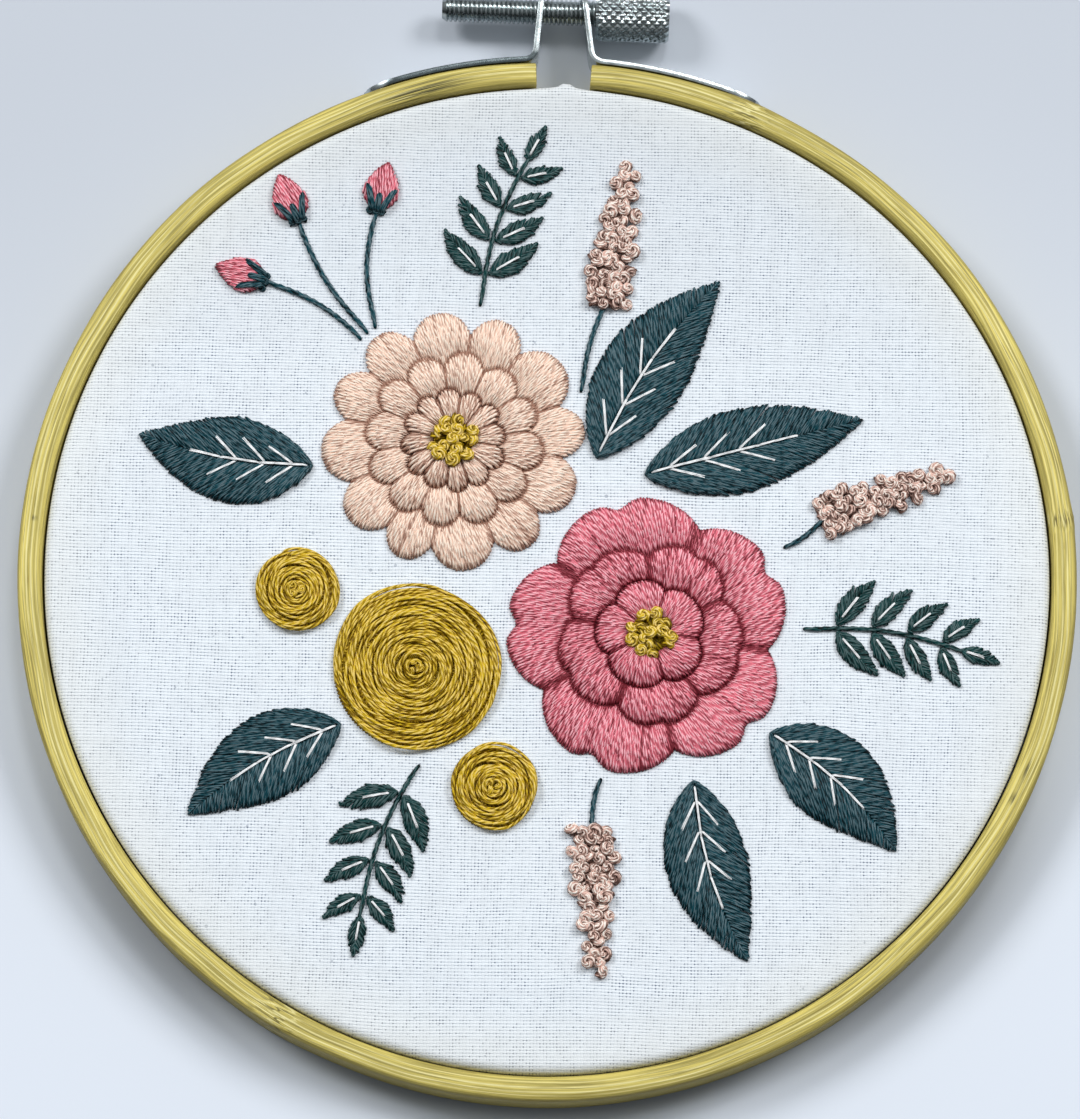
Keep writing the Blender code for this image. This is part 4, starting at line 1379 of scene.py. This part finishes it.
class HOOP_OT_buds(bpy.types.Operator):
    """Closed buds in satin stitch, each held by three sepals"""

    bl_idname = "hoop.buds"
    bl_label = "Buds"

    def execute(self, context):
        for name, (foot, bud_foot, bend) in BUDS.items():
            skein = Skein(seed_for(name))
            stem = Route(foot, bud_foot, bend)
            run = stem.ahead(1.0)
            start = stem.at(1.0) + run * 0.5
            bud = Route(start, start + run * BUD_LENGTH, 0.0)
            self.fill(skein, bud)
            skein.sew(name + "_satin", "rose", "rose", name)
            stalk = Skein(skein.rng)
            stem_stitch(stalk, stem, STEM_WIDTH)
            self.sepals(stalk, bud)
            stalk.sew(name + "_stalk", "teal", "teal", name + "_stem")
        return {"FINISHED"}

    def fill(self, skein, bud):
        """Satin stitches along the bud, from its foot to its closed tip, in two layers."""
        share = np.linspace(0.0, 1, 200)
        half = BUD_WIDTH / 2 * np.sin(pi * share**0.72) ** 0.8
        for pitch, lower in ((0.42, 0.22), (0.33, 0.0)):
            count = int(BUD_WIDTH / pitch)
            across = np.linspace(-0.95, 0.95, count) * BUD_WIDTH / 2
            inside = half[None] >= np.abs(across)[:, None]
            low = share[inside.argmax(axis=1)]
            high = share[len(share) - 1 - inside[:, ::-1].argmax(axis=1)]
            lean = skein.rng.normal(0, 0.06, (2, count))
            start = bud.at(low) + bud.normal(low) * (across + lean[0])[:, None]
            end = bud.at(high) + bud.normal(high) * (across * 0.94 + lean[1])[:, None]
            arch = 0.30 + 0.95 * np.sqrt(1 - (across / BUD_WIDTH * 2) ** 2) - lower
            skein.stitch(start, end, arch[:, None], 0.42, skein.tones(count, 0.17))

    def sepals(self, skein, bud):
        """Three pointed sepals that hug the foot of the bud, and three knots below them."""
        starts, ends = [], []
        for side, reach in ((-1, 0.50), (0, 0.36), (1, 0.50)):
            for k in (-1, -0.4, 0.2, 0.8):
                starts.append(bud.at(-0.04) + bud.normal(0) * (side * 0.6 + k * 0.4))
                tip = reach - 0.05 * abs(k)
                outward = side * BUD_WIDTH * (0.45 - 0.06 * abs(k))
                ends.append(bud.at(tip) + bud.normal(tip) * (outward + k * 0.25))
        heights = np.array([[1.28], [1.48], [1.28]]).repeat(4, axis=0)
        skein.stitch(np.array(starts), np.array(ends), heights, 0.46, skein.tones(12))
        places = bud.at(np.full(3, -0.02)) + bud.normal(np.zeros(3)) * [[-0.9], [0.0], [0.9]]
        knots(skein, places, (0.0, 0.35, 0.0), (0.62, 0.66, 0.62))


class HOOP_OT_stage(bpy.types.Operator):
    """Pale floor, three soft lights and the camera"""

    bl_idname = "hoop.stage"
    bl_label = "Stage"

    def execute(self, context):
        scene = context.scene
        bpy.ops.object.select_all(action="DESELECT")
        bpy.ops.mesh.primitive_plane_add(size=3.0, location=(0, 0, 0))
        floor = context.object
        floor.name = "floor"
        floor.data.materials.append(finish("floor"))
        floor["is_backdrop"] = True
        self.lights(scene.hoop_stage)
        self.sky(scene)
        self.camera(scene)
        scene.view_settings.view_transform = "Standard"
        return {"FINISHED"}

    def lights(self, settings):
        for place, size, share in SOFT_LIGHTS:
            bpy.ops.object.light_add(type="AREA", location=place)
            lamp = bpy.context.object
            lamp.data.shape = "DISK"
            lamp.data.size = size
            lamp.data.energy = settings.key * share
            lamp.data.color = LIGHT_COLOUR
            lamp.rotation_mode = "QUATERNION"
            lamp.rotation_quaternion = Vector(place).to_track_quat("Z", "Y")

    def sky(self, scene):
        """Soft light from above and ahead that falls off towards the viewer's horizon."""
        world = bpy.data.worlds.new("soft_sky")
        scene.world = world
        world.use_nodes = True
        tree = world.node_tree
        background = tree.nodes["Background"]
        background.inputs["Strength"].default_value = scene.hoop_stage.fill
        way = tree.nodes.new("ShaderNodeTexCoord")
        lean = tree.nodes.new("ShaderNodeVectorMath")
        lean.operation = "DOT_PRODUCT"
        lean.inputs[1].default_value = (0.0, 0.50, 0.80)
        ramp = tree.nodes.new("ShaderNodeValToRGB")
        low, high = ramp.color_ramp.elements
        low.color, high.color, high.position = SKY_LOW, SKY_HIGH, 0.8
        tree.links.new(way.outputs["Generated"], lean.inputs[0])
        tree.links.new(lean.outputs["Value"], ramp.inputs[0])
        tree.links.new(ramp.outputs["Color"], background.inputs["Color"])

    def camera(self, scene):
        """Looks down on the cloth, leaning towards its foot and rolled a little."""
        settings = scene.hoop_stage
        lens = bpy.data.cameras.new("camera")
        camera = bpy.data.objects.new("camera", lens)
        scene.collection.objects.link(camera)
        back = Vector((0, -sin(settings.tilt), cos(settings.tilt)))
        up = Vector((0, cos(settings.tilt), sin(settings.tilt)))
        up.rotate(Matrix.Rotation(settings.roll, 4, back))
        right = up.cross(back)
        middle = Vector((0, CENTRE_Y, CLOTH_TOP * MM))
        middle += (right * PICTURE_SHIFT[0] + up * PICTURE_SHIFT[1]) * MM
        turn = Matrix((right, up, back)).transposed()
        camera.matrix_world = Matrix.Translation(middle + back * settings.distance) @ turn.to_4x4()
        lens.sensor_width = SENSOR
        lens.lens = SENSOR * settings.distance / (PICTURE_HEIGHT / PICTURE_SCALE * MM)
        lens.clip_start, lens.clip_end = 0.02, 20
        scene.camera = camera


PIECES = (
    HOOP_OT_rings, HOOP_OT_cloth, HOOP_OT_ears, HOOP_OT_thumbscrew, HOOP_OT_rose,
    HOOP_OT_daisy, HOOP_OT_wheels, HOOP_OT_leaves, HOOP_OT_ferns, HOOP_OT_eyes,
    HOOP_OT_spires, HOOP_OT_buds, HOOP_OT_stage,
)


class HOOP_PT_panel(bpy.types.Panel):
    """Lists the pieces and their settings"""

    bl_idname = "HOOP_PT_panel"
    bl_label = "Hoop embroidery"
    bl_space_type = "VIEW_3D"
    bl_region_type = "UI"
    bl_category = "Embroidery"

    def draw(self, context):
        for operator in PIECES:
            self.layout.operator(operator.bl_idname)
        for name in GROUPS:
            group = getattr(context.scene, name)
            for prop in group.bl_rna.properties:
                if not prop.is_readonly and prop.identifier != "name":
                    self.layout.prop(group, prop.identifier)


def register():
    for made in (*GROUPS.values(), *PIECES, HOOP_PT_panel):
        bpy.utils.register_class(made)
    for name, group in GROUPS.items():
        setattr(bpy.types.Scene, name, PointerProperty(type=group))


def unregister():
    for name in GROUPS:
        delattr(bpy.types.Scene, name)
    for made in (HOOP_PT_panel, *reversed(PIECES), *reversed(GROUPS.values())):
        bpy.utils.unregister_class(made)


def write_sizes():
    """The solids' box and the dressed part's box, side by side."""
    boxes = {"cad": CAD_BOX, "visual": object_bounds()}
    {key: [list(corner) for corner in box] for key, box in boxes.items()}


def main():
    register()
    for operator in PIECES:
        area, name = operator.bl_idname.split(".")
        getattr(getattr(bpy.ops, area), name)()
    write_sizes()


if __name__ == "__main__":
    main()
